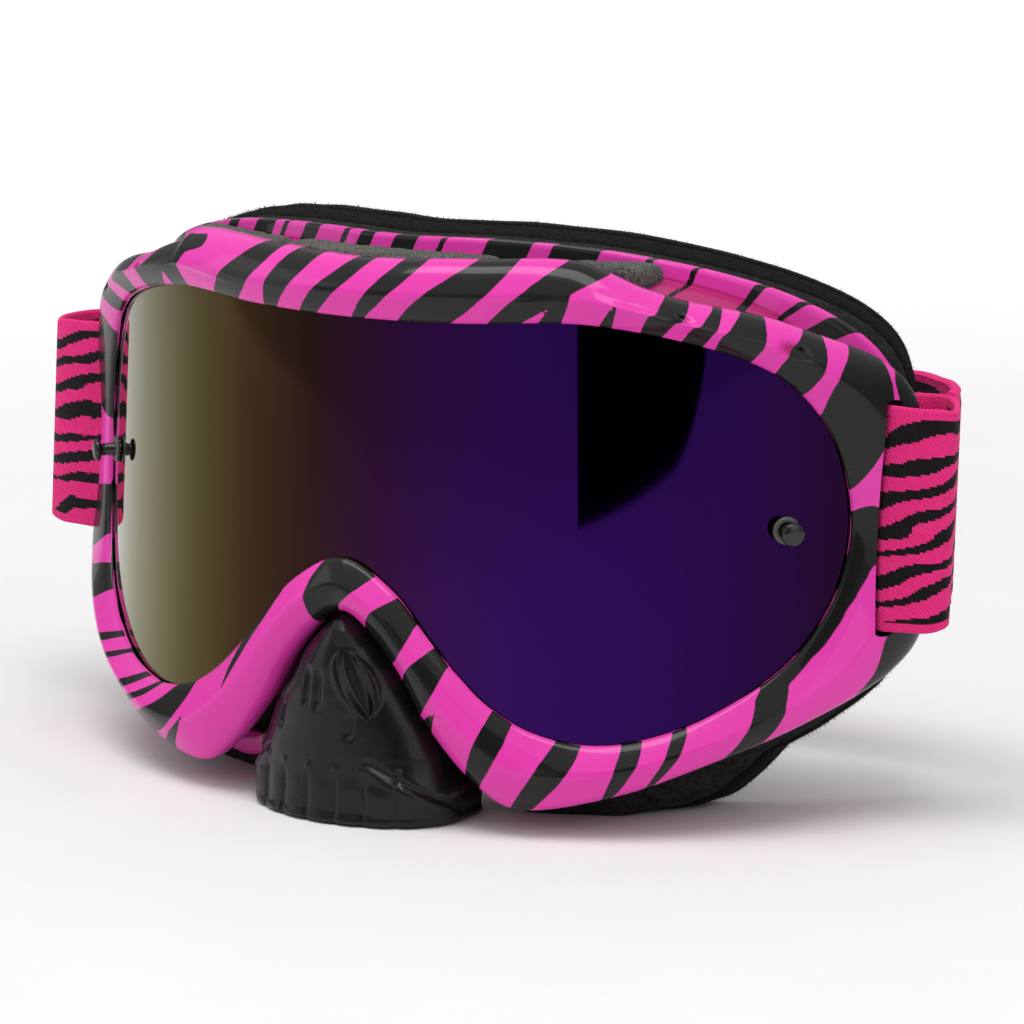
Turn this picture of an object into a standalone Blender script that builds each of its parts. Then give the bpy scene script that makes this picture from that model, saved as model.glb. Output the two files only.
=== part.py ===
"""Sports protective goggles with a wrap-round lens, modelled at real size.

The shape is drawn in millimetres round the middle of the lens front: +X to the wearer's left hand side as
seen from the front, -Y forwards and +Z up.  Every piece is placed by wrapping those drawing coordinates on
the lens cylinder and leaning them back, and then the whole is moved so that it stands on z = 0 with the
origin under the middle of its box.
"""
import bmesh
import bpy
import math
from mathutils import Vector

MM = 0.001

# Whole goggles
WRAP_RADIUS = 102.5        # radius of the lens front, about a vertical axis
LEAN = 0.08                # how far each millimetre of height goes back
EYE_HEIGHT = 54.0          # lens middle above the table
HALF_STATIONS = 42         # sections round half of the frame

# Frame
LIP_HEIGHT = 0.3           # the bezel's inner lip above the lens cylinder
CROWN_HEIGHT = 3.6         # the bezel's crown above the lens cylinder
RIM_REAR = 4.2             # back of the bezel's outer rim
WALL = 2.1                 # wall between the vent channel and the eye cavity
FLANGE_DEPTH = 17.0        # back of the face flange, behind the lens cylinder
FLANGE_THICKNESS = 2.2
FLANGE_WIDTH = 9.0
LENS_GROOVE = 3.0          # how far the groove reaches past the lip
GAP = 0.3                  # clearance between pieces that touch

# Lens
LENS_THICKNESS = 1.3
LENS_FRONT = 0.4           # lens front below the cylinder that the bezel is drawn on
LENS_OVERLAP = 2.6         # how far the lens reaches under the lip
LENS_COLUMNS = 64

# Tear-off posts
POST_ARC = 84.0            # along the lens from its middle
POST_HEIGHT = 2.3
POST_RADIUS = 1.3
POST_HEAD_RADIUS = 2.2
POST_HEAD_THICKNESS = 1.5
POST_STAND = 5.4           # head front above the lens
WASHER_RADIUS = 2.6
WASHER_THICKNESS = 0.8
CLIP_RADIUS = 3.0
CLIP_THICKNESS = 0.7

# Face foam
FOAM_BASE = 3.6            # thickness of each layer
FOAM_CORE = 7.4
FOAM_FLEECE = 2.2
FOAM_GAP = 0.6             # in front of each layer, which narrows and curves
FOAM_WIDTH = 11.0
FOAM_NARROWING = 0.0035    # share of its half width that the foam loses per millimetre back
FOAM_RISE = 1.6            # how far the foam stands out of the flange at its back
FOOT_START = -43.0         # below this the foam's edge drops to the table, as the cheeks' feet
FOOT_END = -49.0

# Vents
VENT_FRONT = 7.5           # the vent windows, between bezel rim and flange
VENT_REAR = 12.8
FILTER_THICKNESS = 2.4

# Strap
STRAP_WIDTH = 41.5
STRAP_MIDDLE = 3.6         # height of the strap's middle line
STRAP_THICKNESS = 1.4
SLOT_NEAR = 101.0          # arc where the strap slot starts
SLOT_WIDTH = 4.0
STRAP_REAR = 83.5          # the strap's straight run behind the head space
SLOT_LEAVE_TURN = -0.6     # where the webbing leaves the slot in front, from the slot's middle
SLOT_LEAVE_OUT = 1.4
SLOT_BACK_TURN = -0.2      # and where it comes back into the slot behind
SLOT_BACK_OUT = -3.2
# the webbing's (arc, out) way past the side bar, round its fold and back behind the bar
LOOP_SWEEP = ((103.3, 3.5), (105.9, 6.3), (108.8, 8.9), (111.3, 9.7), (113.5, 9.2), (115.7, 7.2), (118.0, 4.4),
              (120.1, 0.6), (120.2, -3.8), (116.4, -6.2), (112.0, -6.2), (107.5, -6.2), (104.0, -5.6))
LOOP_BACK = 7              # the point of the loop that the side run starts beside
# (x, y) way from there round the side of the head to the rear run
SIDE_SWEEP = ((97.4, 63.6), (96.0, 67.0), (93.6, 71.2), (89.9, 75.2), (85.0, 79.0), (79.0, 81.9),
              (70.8, STRAP_REAR - 0.2), (60.2, STRAP_REAR))
SIDE_START_ASIDE = (2.4, 1.2)  # from that point of the loop
LAYER_STEP = 2.4           # from one strap layer to the next
SLIDER_WALL = 1.6
SLIDER_LENGTH = 9.0
SLIDER_PLACE = -14.0
RING_BAR = 2.6
RING_NEAR = 20.7
RING_FAR = 33.3

# Nose guard
GUARD_WALL = 2.2
GUARD_REAR = 12.6          # back edge of the guard's side walls
GUARD_AXIS = 6.0           # where its round front meets its straight sides
PEG_RADIUS = 1.0
PEG_PLACE = (13.9, -31.5)
PEG_REACH = 2.4

# The frame's outline from its top middle round one side to the nose, at matching stations:
# lens opening (arc, height), bezel edge (arc, height), face flange (x, height), vent channel depth.
OUTLINE = (
    ((0.0, 39.5), (0.0, 50.3), (0.0, 52.6), 3.2),
    ((22.0, 39.8), (22.0, 51.2), (21.0, 52.9), 3.2),
    ((45.0, 40.4), (44.0, 51.4), (40.0, 51.6), 3.2),
    ((66.0, 36.6), (65.5, 45.6), (57.5, 47.8), 3.2),
    ((81.0, 30.6), (86.5, 38.5), (70.5, 42.0), 4.0),
    ((90.5, 21.5), (104.0, 31.0), (80.0, 33.0), 9.0),
    ((95.3, 11.5), (112.5, 20.0), (84.6, 20.0), 13.5),
    ((96.7, 0.0), (116.0, 1.0), (85.5, 2.0), 14.0),
    ((94.0, -11.0), (114.8, -17.0), (84.8, -16.0), 13.5),
    ((87.0, -21.0), (107.5, -26.0), (80.5, -27.5), 9.0),
    ((76.5, -28.6), (90.0, -34.0), (71.5, -36.0), 4.5),
    ((64.0, -34.2), (72.0, -40.5), (60.0, -43.0), 3.2),
    ((51.0, -36.6), (55.0, -46.2), (48.0, -48.5), 3.2),
    ((39.5, -34.8), (37.0, -49.2), (33.5, -50.8), 3.2),
    ((31.0, -30.5), (27.5, -44.3), (24.5, -46.5), 3.5),
    ((24.0, -24.5), (18.5, -34.8), (15.0, -36.5), 5.0),
    ((18.0, -18.0), (12.0, -26.0), (9.0, -27.5), 5.0),
    ((10.5, -10.0), (5.5, -20.0), (4.2, -20.5), 3.5),
    ((0.0, -4.9), (0.0, -17.2), (0.0, -17.0), 3.2),
)

# Vent windows: name, x range, heights of the filter pad in the window.
VENTS = (
    ("vent_filter_top_center", (-20.0, 20.0), (44.9, 44.9 + FILTER_THICKNESS)),
    ("vent_filter_top_right", (27.0, 46.0), (44.6, 44.6 + FILTER_THICKNESS)),
    ("vent_filter_top_left", (-46.0, -27.0), (44.6, 44.6 + FILTER_THICKNESS)),
    ("vent_filter_bottom_right", (43.0, 54.0), (-44.4, -44.4 + FILTER_THICKNESS)),
    ("vent_filter_bottom_left", (-54.0, -43.0), (-44.4, -44.4 + FILTER_THICKNESS)),
)

# The nose guard from its dome down: height, half width, how far forward its middle stands.
GUARD_LEVELS = (
    (-18.0, 1.2, 0.0),
    (-19.0, 2.8, 2.2),
    (-20.6, 5.0, 3.6),
    (-23.0, 8.0, 4.7),
    (-26.0, 11.0, 5.5),
    (-30.0, 14.0, 6.2),
    (-35.0, 17.2, 6.8),
    (-41.0, 19.4, 7.4),
    (-47.5, 20.3, 7.9),
    (-54.0, 20.8, 8.2),
)

# The rear of the box is the slider's back, and its front is the nose guard's foot.
SLIDER_ROOM = LAYER_STEP / 2 + STRAP_THICKNESS / 2 + GAP
SLIDER_BACK = STRAP_REAR - LAYER_STEP / 2 + SLIDER_ROOM + SLIDER_WALL
MIDDLE_Y = (SLIDER_BACK - GUARD_LEVELS[-1][2]) / 2


# ---------------------------------------------------------------- drawing coordinates

def wrap(x):
    """How far back the lens cylinder is at x."""
    return WRAP_RADIUS - math.sqrt(WRAP_RADIUS ** 2 - x ** 2)


def world(x, y, z):
    """Drawing millimetres to metres on the table."""
    return Vector((x, y - MIDDLE_Y, z + EYE_HEIGHT)) * MM


def on_lens(arc, z, out=0.0):
    """A point at an arc length along the lens, at a height, standing out of the lens cylinder."""
    angle = arc / WRAP_RADIUS
    radius = WRAP_RADIUS + out
    return world(radius * math.sin(angle), WRAP_RADIUS - radius * math.cos(angle) + LEAN * z, z)


def behind_lens(x, z, depth):
    """A point at x and a height, straight behind the lens cylinder."""
    return world(x, wrap(x) + depth + LEAN * z, z)


def spline(values, share):
    """Catmull-Rom value at a share from 0 to 1 of a list of equally spaced numbers."""
    last = len(values) - 1
    place = min(max(share, 0.0), 1.0) * last
    i = min(int(place), last - 1)
    t = place - i
    p1 = values[i]
    p2 = values[i + 1]
    p0 = values[i - 1] if i > 0 else 2 * p1 - p2
    p3 = values[i + 2] if i + 2 <= last else 2 * p2 - p1
    return 0.5 * (2 * p1 + (p2 - p0) * t + (2 * p0 - 5 * p1 + 4 * p2 - p3) * t * t
                  + (3 * p1 - p0 - 3 * p2 + p3) * t ** 3)


def mirror_even(values, sign):
    """Extend a half list across the middle at both ends, so that the spline is smooth there."""
    return [sign * values[1]] + list(values) + [sign * values[-2]]


def station(share):
    """Lens opening, bezel edge, face flange and channel depth at a share of the half outline."""
    count = len(OUTLINE)
    inner = (1 + share * (count - 1)) / (count + 1)
    found = []
    for part in range(3):
        across = mirror_even([row[part][0] for row in OUTLINE], -1)
        height = mirror_even([row[part][1] for row in OUTLINE], 1)
        found.append((spline(across, inner), spline(height, inner)))
    depth = spline(mirror_even([row[3] for row in OUTLINE], 1), inner)
    return found[0], found[1], found[2], depth


def round_outline():
    """All stations round the frame: down the +X half and up the other."""
    half = [station(i / HALF_STATIONS) for i in range(HALF_STATIONS + 1)]
    stations = [(row, 1) for row in half]
    stations += [(row, -1) for row in half[-2:0:-1]]
    return stations


def inwards(opening, edge):
    """Unit direction from the bezel edge to the lens opening, and the distance."""
    dx = opening[0] - edge[0]
    dz = opening[1] - edge[1]
    width = math.hypot(dx, dz)
    return dx / width, dz / width, width


# ---------------------------------------------------------------- meshes

def new_object(name, mesh, material):
    thing = bpy.data.objects.new(name, mesh)
    bpy.context.scene.collection.objects.link(thing)
    if material is not None:
        mesh.materials.append(material)
    return thing


def faces_out(bm):
    """Turn a closed mesh so that its faces point out."""
    bmesh.ops.recalc_face_normals(bm, faces=bm.faces)
    if bm.calc_volume(signed=True) < 0:
        bmesh.ops.reverse_faces(bm, faces=bm.faces)


def loft(name, rings, material, closed=False):
    """Skin over rings of points; closed joins the last ring to the first, else both ends are capped."""
    bm = bmesh.new()
    rows = [[bm.verts.new(p) for p in ring] for ring in rings]
    count = len(rows[0])
    last = len(rows) if closed else len(rows) - 1
    for i in range(last):
        a = rows[i]
        b = rows[(i + 1) % len(rows)]
        for j in range(count):
            k = (j + 1) % count
            bm.faces.new((a[j], a[k], b[k], b[j]))
    if not closed:
        bm.faces.new(rows[0])
        bm.faces.new(rows[-1])
    faces_out(bm)
    mesh = bpy.data.meshes.new(name)
    bm.to_mesh(mesh)
    bm.free()
    return new_object(name, mesh, material)


def slab(name, x_range, depth_range, z_range, material, columns=8):
    """A block wrapped round the lens cylinder, between two depths behind it and two heights."""
    rings = []
    for i in range(columns + 1):
        x = x_range[0] + (x_range[1] - x_range[0]) * i / columns
        rings.append([behind_lens(x, z, depth) for depth, z in (
            (depth_range[0], z_range[0]), (depth_range[1], z_range[0]),
            (depth_range[1], z_range[1]), (depth_range[0], z_range[1]))])
    return loft(name, rings, material)


def ribbon(name, path, thickness, material, closed=False):
    """Webbing on edge: path is (x, y, lean) along its middle, STRAP_WIDTH tall."""
    count = len(path)
    rings = []
    for i, (x, y, lean) in enumerate(path):
        before = path[i - 1] if closed or i > 0 else path[i]
        after = path[(i + 1) % count] if closed or i < count - 1 else path[i]
        run = Vector((after[0] - before[0], after[1] - before[1])).normalized()
        side = Vector((-run.y, run.x)) * thickness / 2
        ring = []
        for offset, z in ((1, -0.5), (1, 0.5), (-1, 0.5), (-1, -0.5)):
            height = STRAP_MIDDLE + z * STRAP_WIDTH
            ring.append(world(x + offset * side.x, y + offset * side.y + lean * height, height))
        rings.append(ring)
    return loft(name, rings, material, closed)


def turned(name, profile, centre, axis, material, segments=24):
    """A round piece from (radius, height) points along an axis from a centre, both in metres."""
    turn = Vector((0, 0, 1)).rotation_difference(axis)
    bm = bmesh.new()
    rows = []
    for radius, height in profile:
        row = []
        for i in range(segments):
            angle = 2 * math.pi * i / segments
            point = Vector((radius * math.cos(angle), radius * math.sin(angle), height)) * MM
            row.append(bm.verts.new(centre + turn @ point))
        rows.append(row)
    hollow = profile[0] == profile[-1]
    if hollow:
        for vert in rows.pop():
            bm.verts.remove(vert)
    pairs = len(rows) if hollow else len(rows) - 1
    for i in range(pairs):
        a = rows[i]
        b = rows[(i + 1) % len(rows)]
        for j in range(segments):
            k = (j + 1) % segments
            bm.faces.new((a[j], a[k], b[k], b[j]))
    if not hollow:
        bm.faces.new(rows[0])
        bm.faces.new(rows[-1])
    faces_out(bm)
    mesh = bpy.data.meshes.new(name)
    bm.to_mesh(mesh)
    bm.free()
    thing = new_object(name, mesh, material)
    mesh.shade_smooth()
    mesh.set_sharp_from_angle(angle=math.radians(35))
    return thing


def box(name, low, high, material):
    """A plain block between two corners in drawing millimetres."""
    rings = []
    for x in (low[0], high[0]):
        rings.append([world(x, y, z) for y, z in (
            (low[1], low[2]), (high[1], low[2]), (high[1], high[2]), (low[1], high[2]))])
    return loft(name, rings, material)


def boolean(thing, tool, operation):
    """Cut with or join to another closed shape, which is then only a hidden guide."""
    tool.hide_render = True
    tool.display_type = "WIRE"
    modifier = thing.modifiers.new(operation.lower() + "_" + tool.name, "BOOLEAN")
    modifier.object = tool
    modifier.operation = operation
    modifier.solver = "EXACT"


def material(name, colour, roughness, metallic=0.0):
    made = bpy.data.materials.new(name)
    made.use_nodes = True
    shader = made.node_tree.nodes["Principled BSDF"]
    shader.inputs["Base Color"].default_value = (*colour, 1.0)
    shader.inputs["Roughness"].default_value = roughness
    shader.inputs["Metallic"].default_value = metallic
    return made


# ---------------------------------------------------------------- frame and lens

def frame_section(row, side):
    """One closed section of the frame: lip, crown, rim, vent channel, flange, cavity wall, lens groove."""
    opening, edge, flange, channel = row
    nx, nz, width = inwards(opening, edge)

    def bezel(out_share, out):
        """A point at a distance outwards from the lens opening, standing out of the lens."""
        return on_lens(side * (opening[0] - nx * out_share), opening[1] - nz * out_share, out)

    def face(in_by, depth):
        """A point at a distance inwards from the flange's edge, behind the lens."""
        return behind_lens(side * (flange[0] + nx * in_by), flange[1] + nz * in_by, depth)

    front = FLANGE_DEPTH - FLANGE_THICKNESS
    neck = min(channel, FLANGE_WIDTH - WALL - 1.2)
    rear_of_lens = LENS_FRONT + LENS_THICKNESS + GAP
    return [
        bezel(0.0, LIP_HEIGHT),
        bezel(width * 0.14, CROWN_HEIGHT * 0.55),
        bezel(width * 0.45, CROWN_HEIGHT),
        bezel(width * 0.8, CROWN_HEIGHT * 0.67),
        bezel(width, -1.0),
        bezel(width - 0.3, -RIM_REAR),
        bezel(width - channel, -RIM_REAR - 0.6),
        face(neck, front - 0.3),
        face(0.0, front),
        face(0.0, FLANGE_DEPTH),
        face(FLANGE_WIDTH, FLANGE_DEPTH),
        face(FLANGE_WIDTH, front),
        face(neck + WALL, front - 0.6),
        bezel(width - channel - WALL, -RIM_REAR - 0.4),
        bezel(0.4, -RIM_REAR + 0.6),
        bezel(0.4, -rear_of_lens),
        bezel(LENS_GROOVE, -rear_of_lens),
        bezel(LENS_GROOVE, GAP - LENS_FRONT),
        bezel(0.0, GAP - LENS_FRONT),
    ]


def make_frame(plastic):
    rings = [frame_section(row, side) for row, side in round_outline()]
    frame = loft("frame", rings, plastic, closed=True)
    for side in (1, -1):
        low = STRAP_MIDDLE - STRAP_WIDTH / 2 - 1.0
        high = STRAP_MIDDLE + STRAP_WIDTH / 2 + 1.0
        near = side * SLOT_NEAR
        far = side * (SLOT_NEAR + SLOT_WIDTH)
        rings = []
        for arc in (near, (near + far) / 2, far):
            rings.append([on_lens(arc, z, out) for z, out in (
                (low, -RIM_REAR - 3.0), (high, -RIM_REAR - 3.0), (high, 8.0), (low, 8.0))])
        boolean(frame, loft("strap_slot_cutter", rings, None), "DIFFERENCE")
        centre = world(side * PEG_PLACE[0], 8.0, PEG_PLACE[1])
        hole = [(PEG_RADIUS + GAP, 0.0), (PEG_RADIUS + GAP, 16.0)]
        boolean(frame, turned("peg_hole_cutter", hole, centre, Vector((0, 1, 0)), None, 16), "DIFFERENCE")
    for name, x_range, z_range in VENTS:
        reach = (min(z_range) - 3.5, max(z_range) + 3.5)
        cutter = slab(name + "_cutter", x_range, (VENT_FRONT, VENT_REAR), reach, None)
        boolean(frame, cutter, "DIFFERENCE")


def make_vent_filters(mesh_foam):
    for name, x_range, z_range in VENTS:
        narrow = (x_range[0] + GAP, x_range[1] - GAP)
        slab(name, narrow, (VENT_FRONT + GAP, VENT_REAR - GAP), z_range, mesh_foam, 6)


def lens_edge(count=200):
    """The lens outline down one half, as (arc, height), a little larger than the opening."""
    points = []
    for i in range(count + 1):
        opening, edge, _, _ = station(i / count)
        nx, nz, _ = inwards(opening, edge)
        points.append((opening[0] - nx * LENS_OVERLAP, opening[1] - nz * LENS_OVERLAP))
    return points


def height_at(points, arc):
    """Height of a run of outline points, read at an arc length."""
    for (s0, z0), (s1, z1) in zip(points, points[1:]):
        if min(s0, s1) <= arc <= max(s0, s1) and s0 != s1:
            return z0 + (z1 - z0) * (arc - s0) / (s1 - s0)
    return points[-1][1]


def make_lens(clear_plastic):
    points = lens_edge()
    tip = max(range(len(points)), key=lambda i: points[i][0])
    top = points[:tip + 1]
    bottom = points[tip:]
    reach = points[tip][0] - 0.15
    rings = []
    for i in range(LENS_COLUMNS + 1):
        arc = reach * math.sin(math.pi / 2 * (2 * i / LENS_COLUMNS - 1))
        high = height_at(top, abs(arc))
        low = height_at(bottom, abs(arc))
        front = -LENS_FRONT
        rings.append([on_lens(arc, low, front), on_lens(arc, high, front),
                      on_lens(arc, high, front - LENS_THICKNESS), on_lens(arc, low, front - LENS_THICKNESS)])
    lens = loft("lens", rings, clear_plastic)
    for side in (1, -1):
        centre, axis = post_place(side)
        hole = [(POST_RADIUS + GAP, -6.0), (POST_RADIUS + GAP, 6.0)]
        boolean(lens, turned("post_hole_cutter", hole, centre, axis, None), "DIFFERENCE")


def post_place(side):
    """Where a tear-off post crosses the lens front, and which way it points."""
    centre = on_lens(side * POST_ARC, POST_HEIGHT, -LENS_FRONT)
    angle = side * POST_ARC / WRAP_RADIUS
    return centre, Vector((math.sin(angle), -math.cos(angle), 0))


def make_posts(black, grey, steel):
    rear = -LENS_THICKNESS
    head = POST_STAND - POST_HEAD_THICKNESS
    for side, name in ((1, "right"), (-1, "left")):
        centre, axis = post_place(side)
        foot = rear - CLIP_THICKNESS - 2 * GAP
        post = [(POST_RADIUS, foot - 0.6), (POST_RADIUS, head), (POST_HEAD_RADIUS, head + 0.2),
                (POST_HEAD_RADIUS, head + 0.9), (POST_HEAD_RADIUS * 0.7, POST_STAND)]
        turned("tearoff_post_" + name, post, centre, axis, black)
        bore = POST_RADIUS + GAP
        low = GAP
        washer = [(bore, low), (WASHER_RADIUS, low), (WASHER_RADIUS - 0.3, low + WASHER_THICKNESS),
                  (bore, low + WASHER_THICKNESS), (bore, low)]
        turned("post_washer_" + name, washer, centre, axis, grey)
        high = rear - GAP
        clip = [(bore, high - CLIP_THICKNESS), (CLIP_RADIUS, high - CLIP_THICKNESS), (CLIP_RADIUS, high),
                (bore, high), (bore, high - CLIP_THICKNESS)]
        turned("post_clip_" + name, clip, centre, axis, steel)


# ---------------------------------------------------------------- face foam

def foam_ring(row, side, depth_front, depth_rear):
    """One section of a foam layer, which narrows with the face and is cut flat where it stands."""
    opening, edge, flange, _ = row
    nx, nz, _ = inwards(opening, edge)
    total = FOAM_BASE + FOAM_CORE + FOAM_FLEECE
    corners = []
    for depth, inner in ((depth_front, 0), (depth_rear, 0), (depth_rear, 1), (depth_front, 1)):
        back = depth - FLANGE_DEPTH
        rise = FOAM_RISE * min(1.0, back / total) - 0.4 - inner * (FOAM_WIDTH - 2.0 * back / total)
        x = (flange[0] - nx * rise * 0.35) if not inner else flange[0] - nx * rise
        z = flange[1] - nz * rise
        x = x * (1 - FOAM_NARROWING * back)
        if not inner:
            drop = min(max((FOOT_START - z) / (FOOT_START - FOOT_END), 0.0), 1.0)
            z = z - drop * (z + EYE_HEIGHT)
        corners.append(behind_lens(side * x, z, depth))
    return corners


def make_foam(white_foam, black_foam, fleece):
    start = FLANGE_DEPTH + FOAM_GAP
    layers = (("foam_base", FOAM_BASE, white_foam), ("foam_core", FOAM_CORE, black_foam),
              ("foam_fleece", FOAM_FLEECE, fleece))
    for name, thickness, stuff in layers:
        end = start + thickness
        rings = [foam_ring(row, side, start, end) for row, side in round_outline()]
        loft(name, rings, stuff, closed=True)
        start = end + FOAM_GAP


# ---------------------------------------------------------------- nose guard

def guard_ring(level, wall, rear):
    """The guard's plan at one height: a round front on straight sides, closed across the back."""
    height, half, forward = level
    half = max(half - wall, 0.4)
    depth = GUARD_AXIS + forward - wall
    ring = [world(half, rear, height)]
    steps = 20
    for i in range(steps + 1):
        angle = math.pi * i / steps
        ring.append(world(half * math.cos(angle), GUARD_AXIS - depth * math.sin(angle), height))
    ring.append(world(-half, rear, height))
    return ring


def make_nose_guard(black):
    outer = [guard_ring(level, 0.0, GUARD_REAR) for level in GUARD_LEVELS]
    guard = loft("nose_guard", outer, black)
    inner = []
    for height, half, forward in GUARD_LEVELS[2:]:
        lowered = height - (GUARD_WALL if height > -50 else 1.0)
        inner.append(guard_ring((lowered, half, forward), GUARD_WALL, GUARD_REAR + 5.0))
    boolean(guard, loft("guard_hollow_cutter", inner, None), "DIFFERENCE")
    for side in (1, -1):
        x, z = PEG_PLACE
        centre = world(side * x, GUARD_REAR - 1.0, z)
        peg = [(PEG_RADIUS, 0.0), (PEG_RADIUS, 0.9 + PEG_REACH), (PEG_RADIUS * 0.7, 1.0 + PEG_REACH)]
        boolean(guard, turned("guard_peg_guide", peg, centre, Vector((0, 1, 0)), None, 16), "UNION")


# ---------------------------------------------------------------- strap

def strap_loop_path():
    """Middle of the webbing as (x, y): out of the slot, out past the frame's side bar and back behind it."""
    slot = SLOT_NEAR + SLOT_WIDTH / 2
    path = [(slot + SLOT_LEAVE_TURN, SLOT_LEAVE_OUT), *LOOP_SWEEP, (slot + SLOT_BACK_TURN, SLOT_BACK_OUT)]
    found = []
    for arc, out in path:
        radius = WRAP_RADIUS + out
        angle = arc / WRAP_RADIUS
        found.append((radius * math.sin(angle), WRAP_RADIUS - radius * math.cos(angle)))
    return found


def strap_side_path():
    """Middle of the webbing from beside the loop's back to the rear run."""
    back = strap_loop_path()[1 + LOOP_BACK]
    moved = [back[k] + SIDE_START_ASIDE[k] - SIDE_SWEEP[0][k] for k in (0, 1)]
    last = len(SIDE_SWEEP) - 1
    return [(x + moved[0] * (1 - i / last), y + moved[1] * (1 - i / last), LEAN * (1 - i / last))
            for i, (x, y) in enumerate(SIDE_SWEEP)]


def make_strap(webbing, black, steel):
    for side, name in ((1, "right"), (-1, "left")):
        loop = [(side * x, y, LEAN) for x, y in strap_loop_path()]
        ribbon("strap_loop_" + name, loop, STRAP_THICKNESS, webbing, closed=True)
        path = [(side * x, y, lean) for x, y, lean in strap_side_path()]
        ribbon("strap_side_" + name, path, 2 * STRAP_THICKNESS - 0.4, webbing)
    inner = STRAP_REAR - LAYER_STEP
    bow = RING_BAR / 2 + GAP + STRAP_THICKNESS / 2
    middle = STRAP_REAR - LAYER_STEP / 2
    near = RING_NEAR + RING_BAR / 2
    far = RING_FAR - RING_BAR / 2
    long_run = [(-59.8, STRAP_REAR), (0.0, STRAP_REAR), (near - 8.0, STRAP_REAR), (near - 4.0, middle + bow),
                (near + 1.3, middle + bow), (near + 3.2, middle + bow * 0.6), (near + 3.7, middle),
                (near + 3.2, middle - bow * 0.6), (near + 1.3, middle - bow), (near - 4.0, middle - bow),
                (near - 8.0, inner), (0.0, inner), (-20.0, inner)]
    ribbon("strap_rear_long", [(x, y, 0.0) for x, y in long_run], STRAP_THICKNESS, webbing)
    short_run = [(59.8, STRAP_REAR), (far + 8.0, STRAP_REAR), (far + 4.0, middle + bow),
                 (far - 1.3, middle + bow), (far - 3.2, middle + bow * 0.6), (far - 3.7, middle),
                 (far - 3.2, middle - bow * 0.6), (far - 1.3, middle - bow), (far + 4.0, middle - bow),
                 (far + 8.0, inner), (far + 20.0, inner)]
    ribbon("strap_rear_short", [(x, y, 0.0) for x, y in short_run], STRAP_THICKNESS, webbing)
    low = STRAP_MIDDLE - STRAP_WIDTH / 2 - 0.6
    high = STRAP_MIDDLE + STRAP_WIDTH / 2 + 0.6
    half = RING_BAR / 2
    ring = box("strap_ring", (RING_NEAR, middle - half, low - RING_BAR),
               (RING_FAR, middle + half, high + RING_BAR), steel)
    hole = box("ring_hole_cutter", (RING_NEAR + RING_BAR, middle - 5.0, low),
               (RING_FAR - RING_BAR, middle + 5.0, high), None)
    boolean(ring, hole, "DIFFERENCE")
    slider_low = (SLIDER_PLACE - SLIDER_LENGTH / 2, middle - SLIDER_ROOM - SLIDER_WALL, low - SLIDER_WALL)
    slider_high = (SLIDER_PLACE + SLIDER_LENGTH / 2, middle + SLIDER_ROOM + SLIDER_WALL, high + SLIDER_WALL)
    slider = box("strap_slider", slider_low, slider_high, black)
    tunnel = box("slider_tunnel_cutter", (slider_low[0] - 2.0, middle - SLIDER_ROOM, low),
                 (slider_high[0] + 2.0, middle + SLIDER_ROOM, high), None)
    boolean(slider, tunnel, "DIFFERENCE")


def main():
    for thing in list(bpy.data.objects):
        bpy.data.objects.remove(thing, do_unlink=True)
    pink = material("pink_gloss_shell", (0.87, 0.10, 0.50), 0.25)
    mirror = material("violet_mirror_lens", (0.05, 0.01, 0.35), 0.08, 0.8)
    black = material("black_plastic", (0.02, 0.02, 0.02), 0.4)
    grey = material("grey_washer", (0.25, 0.25, 0.24), 0.45)
    steel = material("dull_steel", (0.4, 0.4, 0.4), 0.4, 1.0)
    base_foam = material("grey_base_foam", (0.10, 0.10, 0.10), 0.95)
    black_foam = material("black_foam", (0.015, 0.015, 0.015), 0.95)
    fleece = material("black_fleece", (0.02, 0.02, 0.02), 1.0)
    mesh_foam = material("grey_vent_foam", (0.20, 0.20, 0.19), 0.95)
    webbing = material("pink_black_webbing", (0.75, 0.02, 0.17), 0.8)
    make_frame(pink)
    make_lens(mirror)
    make_posts(black, grey, steel)
    make_vent_filters(mesh_foam)
    make_foam(base_foam, black_foam, fleece)
    make_nose_guard(black)
    make_strap(webbing, black, steel)


main()
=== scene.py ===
# %% [markdown]
# # Sports protective goggles
# A wrap-round visor goggle: a glossy striped frame holds a mirrored lens, three layers of foam
# seat it on the face, a black guard covers the nose, and a woven strap goes round the head.
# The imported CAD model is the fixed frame.  Every piece below is drawn in the same millimetres as
# that model and at its places, so nothing is fitted afterwards.  The soft pieces, the nose arch
# and the guard's dome differ from their CAD solids by up to 9.5 mm.

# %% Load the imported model
import math
import bmesh
import bpy
import numpy as np
from mathutils import Matrix, Vector

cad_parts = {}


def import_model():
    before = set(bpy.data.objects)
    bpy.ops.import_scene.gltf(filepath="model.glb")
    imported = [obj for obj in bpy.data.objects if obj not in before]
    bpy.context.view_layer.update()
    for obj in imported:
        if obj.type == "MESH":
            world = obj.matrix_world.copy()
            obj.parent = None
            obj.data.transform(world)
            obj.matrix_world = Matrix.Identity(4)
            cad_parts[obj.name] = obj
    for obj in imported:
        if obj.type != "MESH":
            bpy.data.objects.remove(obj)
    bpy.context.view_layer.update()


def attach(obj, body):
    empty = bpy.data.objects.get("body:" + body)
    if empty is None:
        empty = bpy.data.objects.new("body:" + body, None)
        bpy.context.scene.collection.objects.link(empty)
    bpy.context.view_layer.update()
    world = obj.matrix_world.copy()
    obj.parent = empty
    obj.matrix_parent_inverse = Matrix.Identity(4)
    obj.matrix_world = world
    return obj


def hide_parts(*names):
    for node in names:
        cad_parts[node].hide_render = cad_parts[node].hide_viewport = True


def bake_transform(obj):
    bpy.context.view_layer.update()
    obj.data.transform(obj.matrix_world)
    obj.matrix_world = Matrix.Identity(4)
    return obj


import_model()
MM = 0.001
scene = bpy.context.scene
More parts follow.
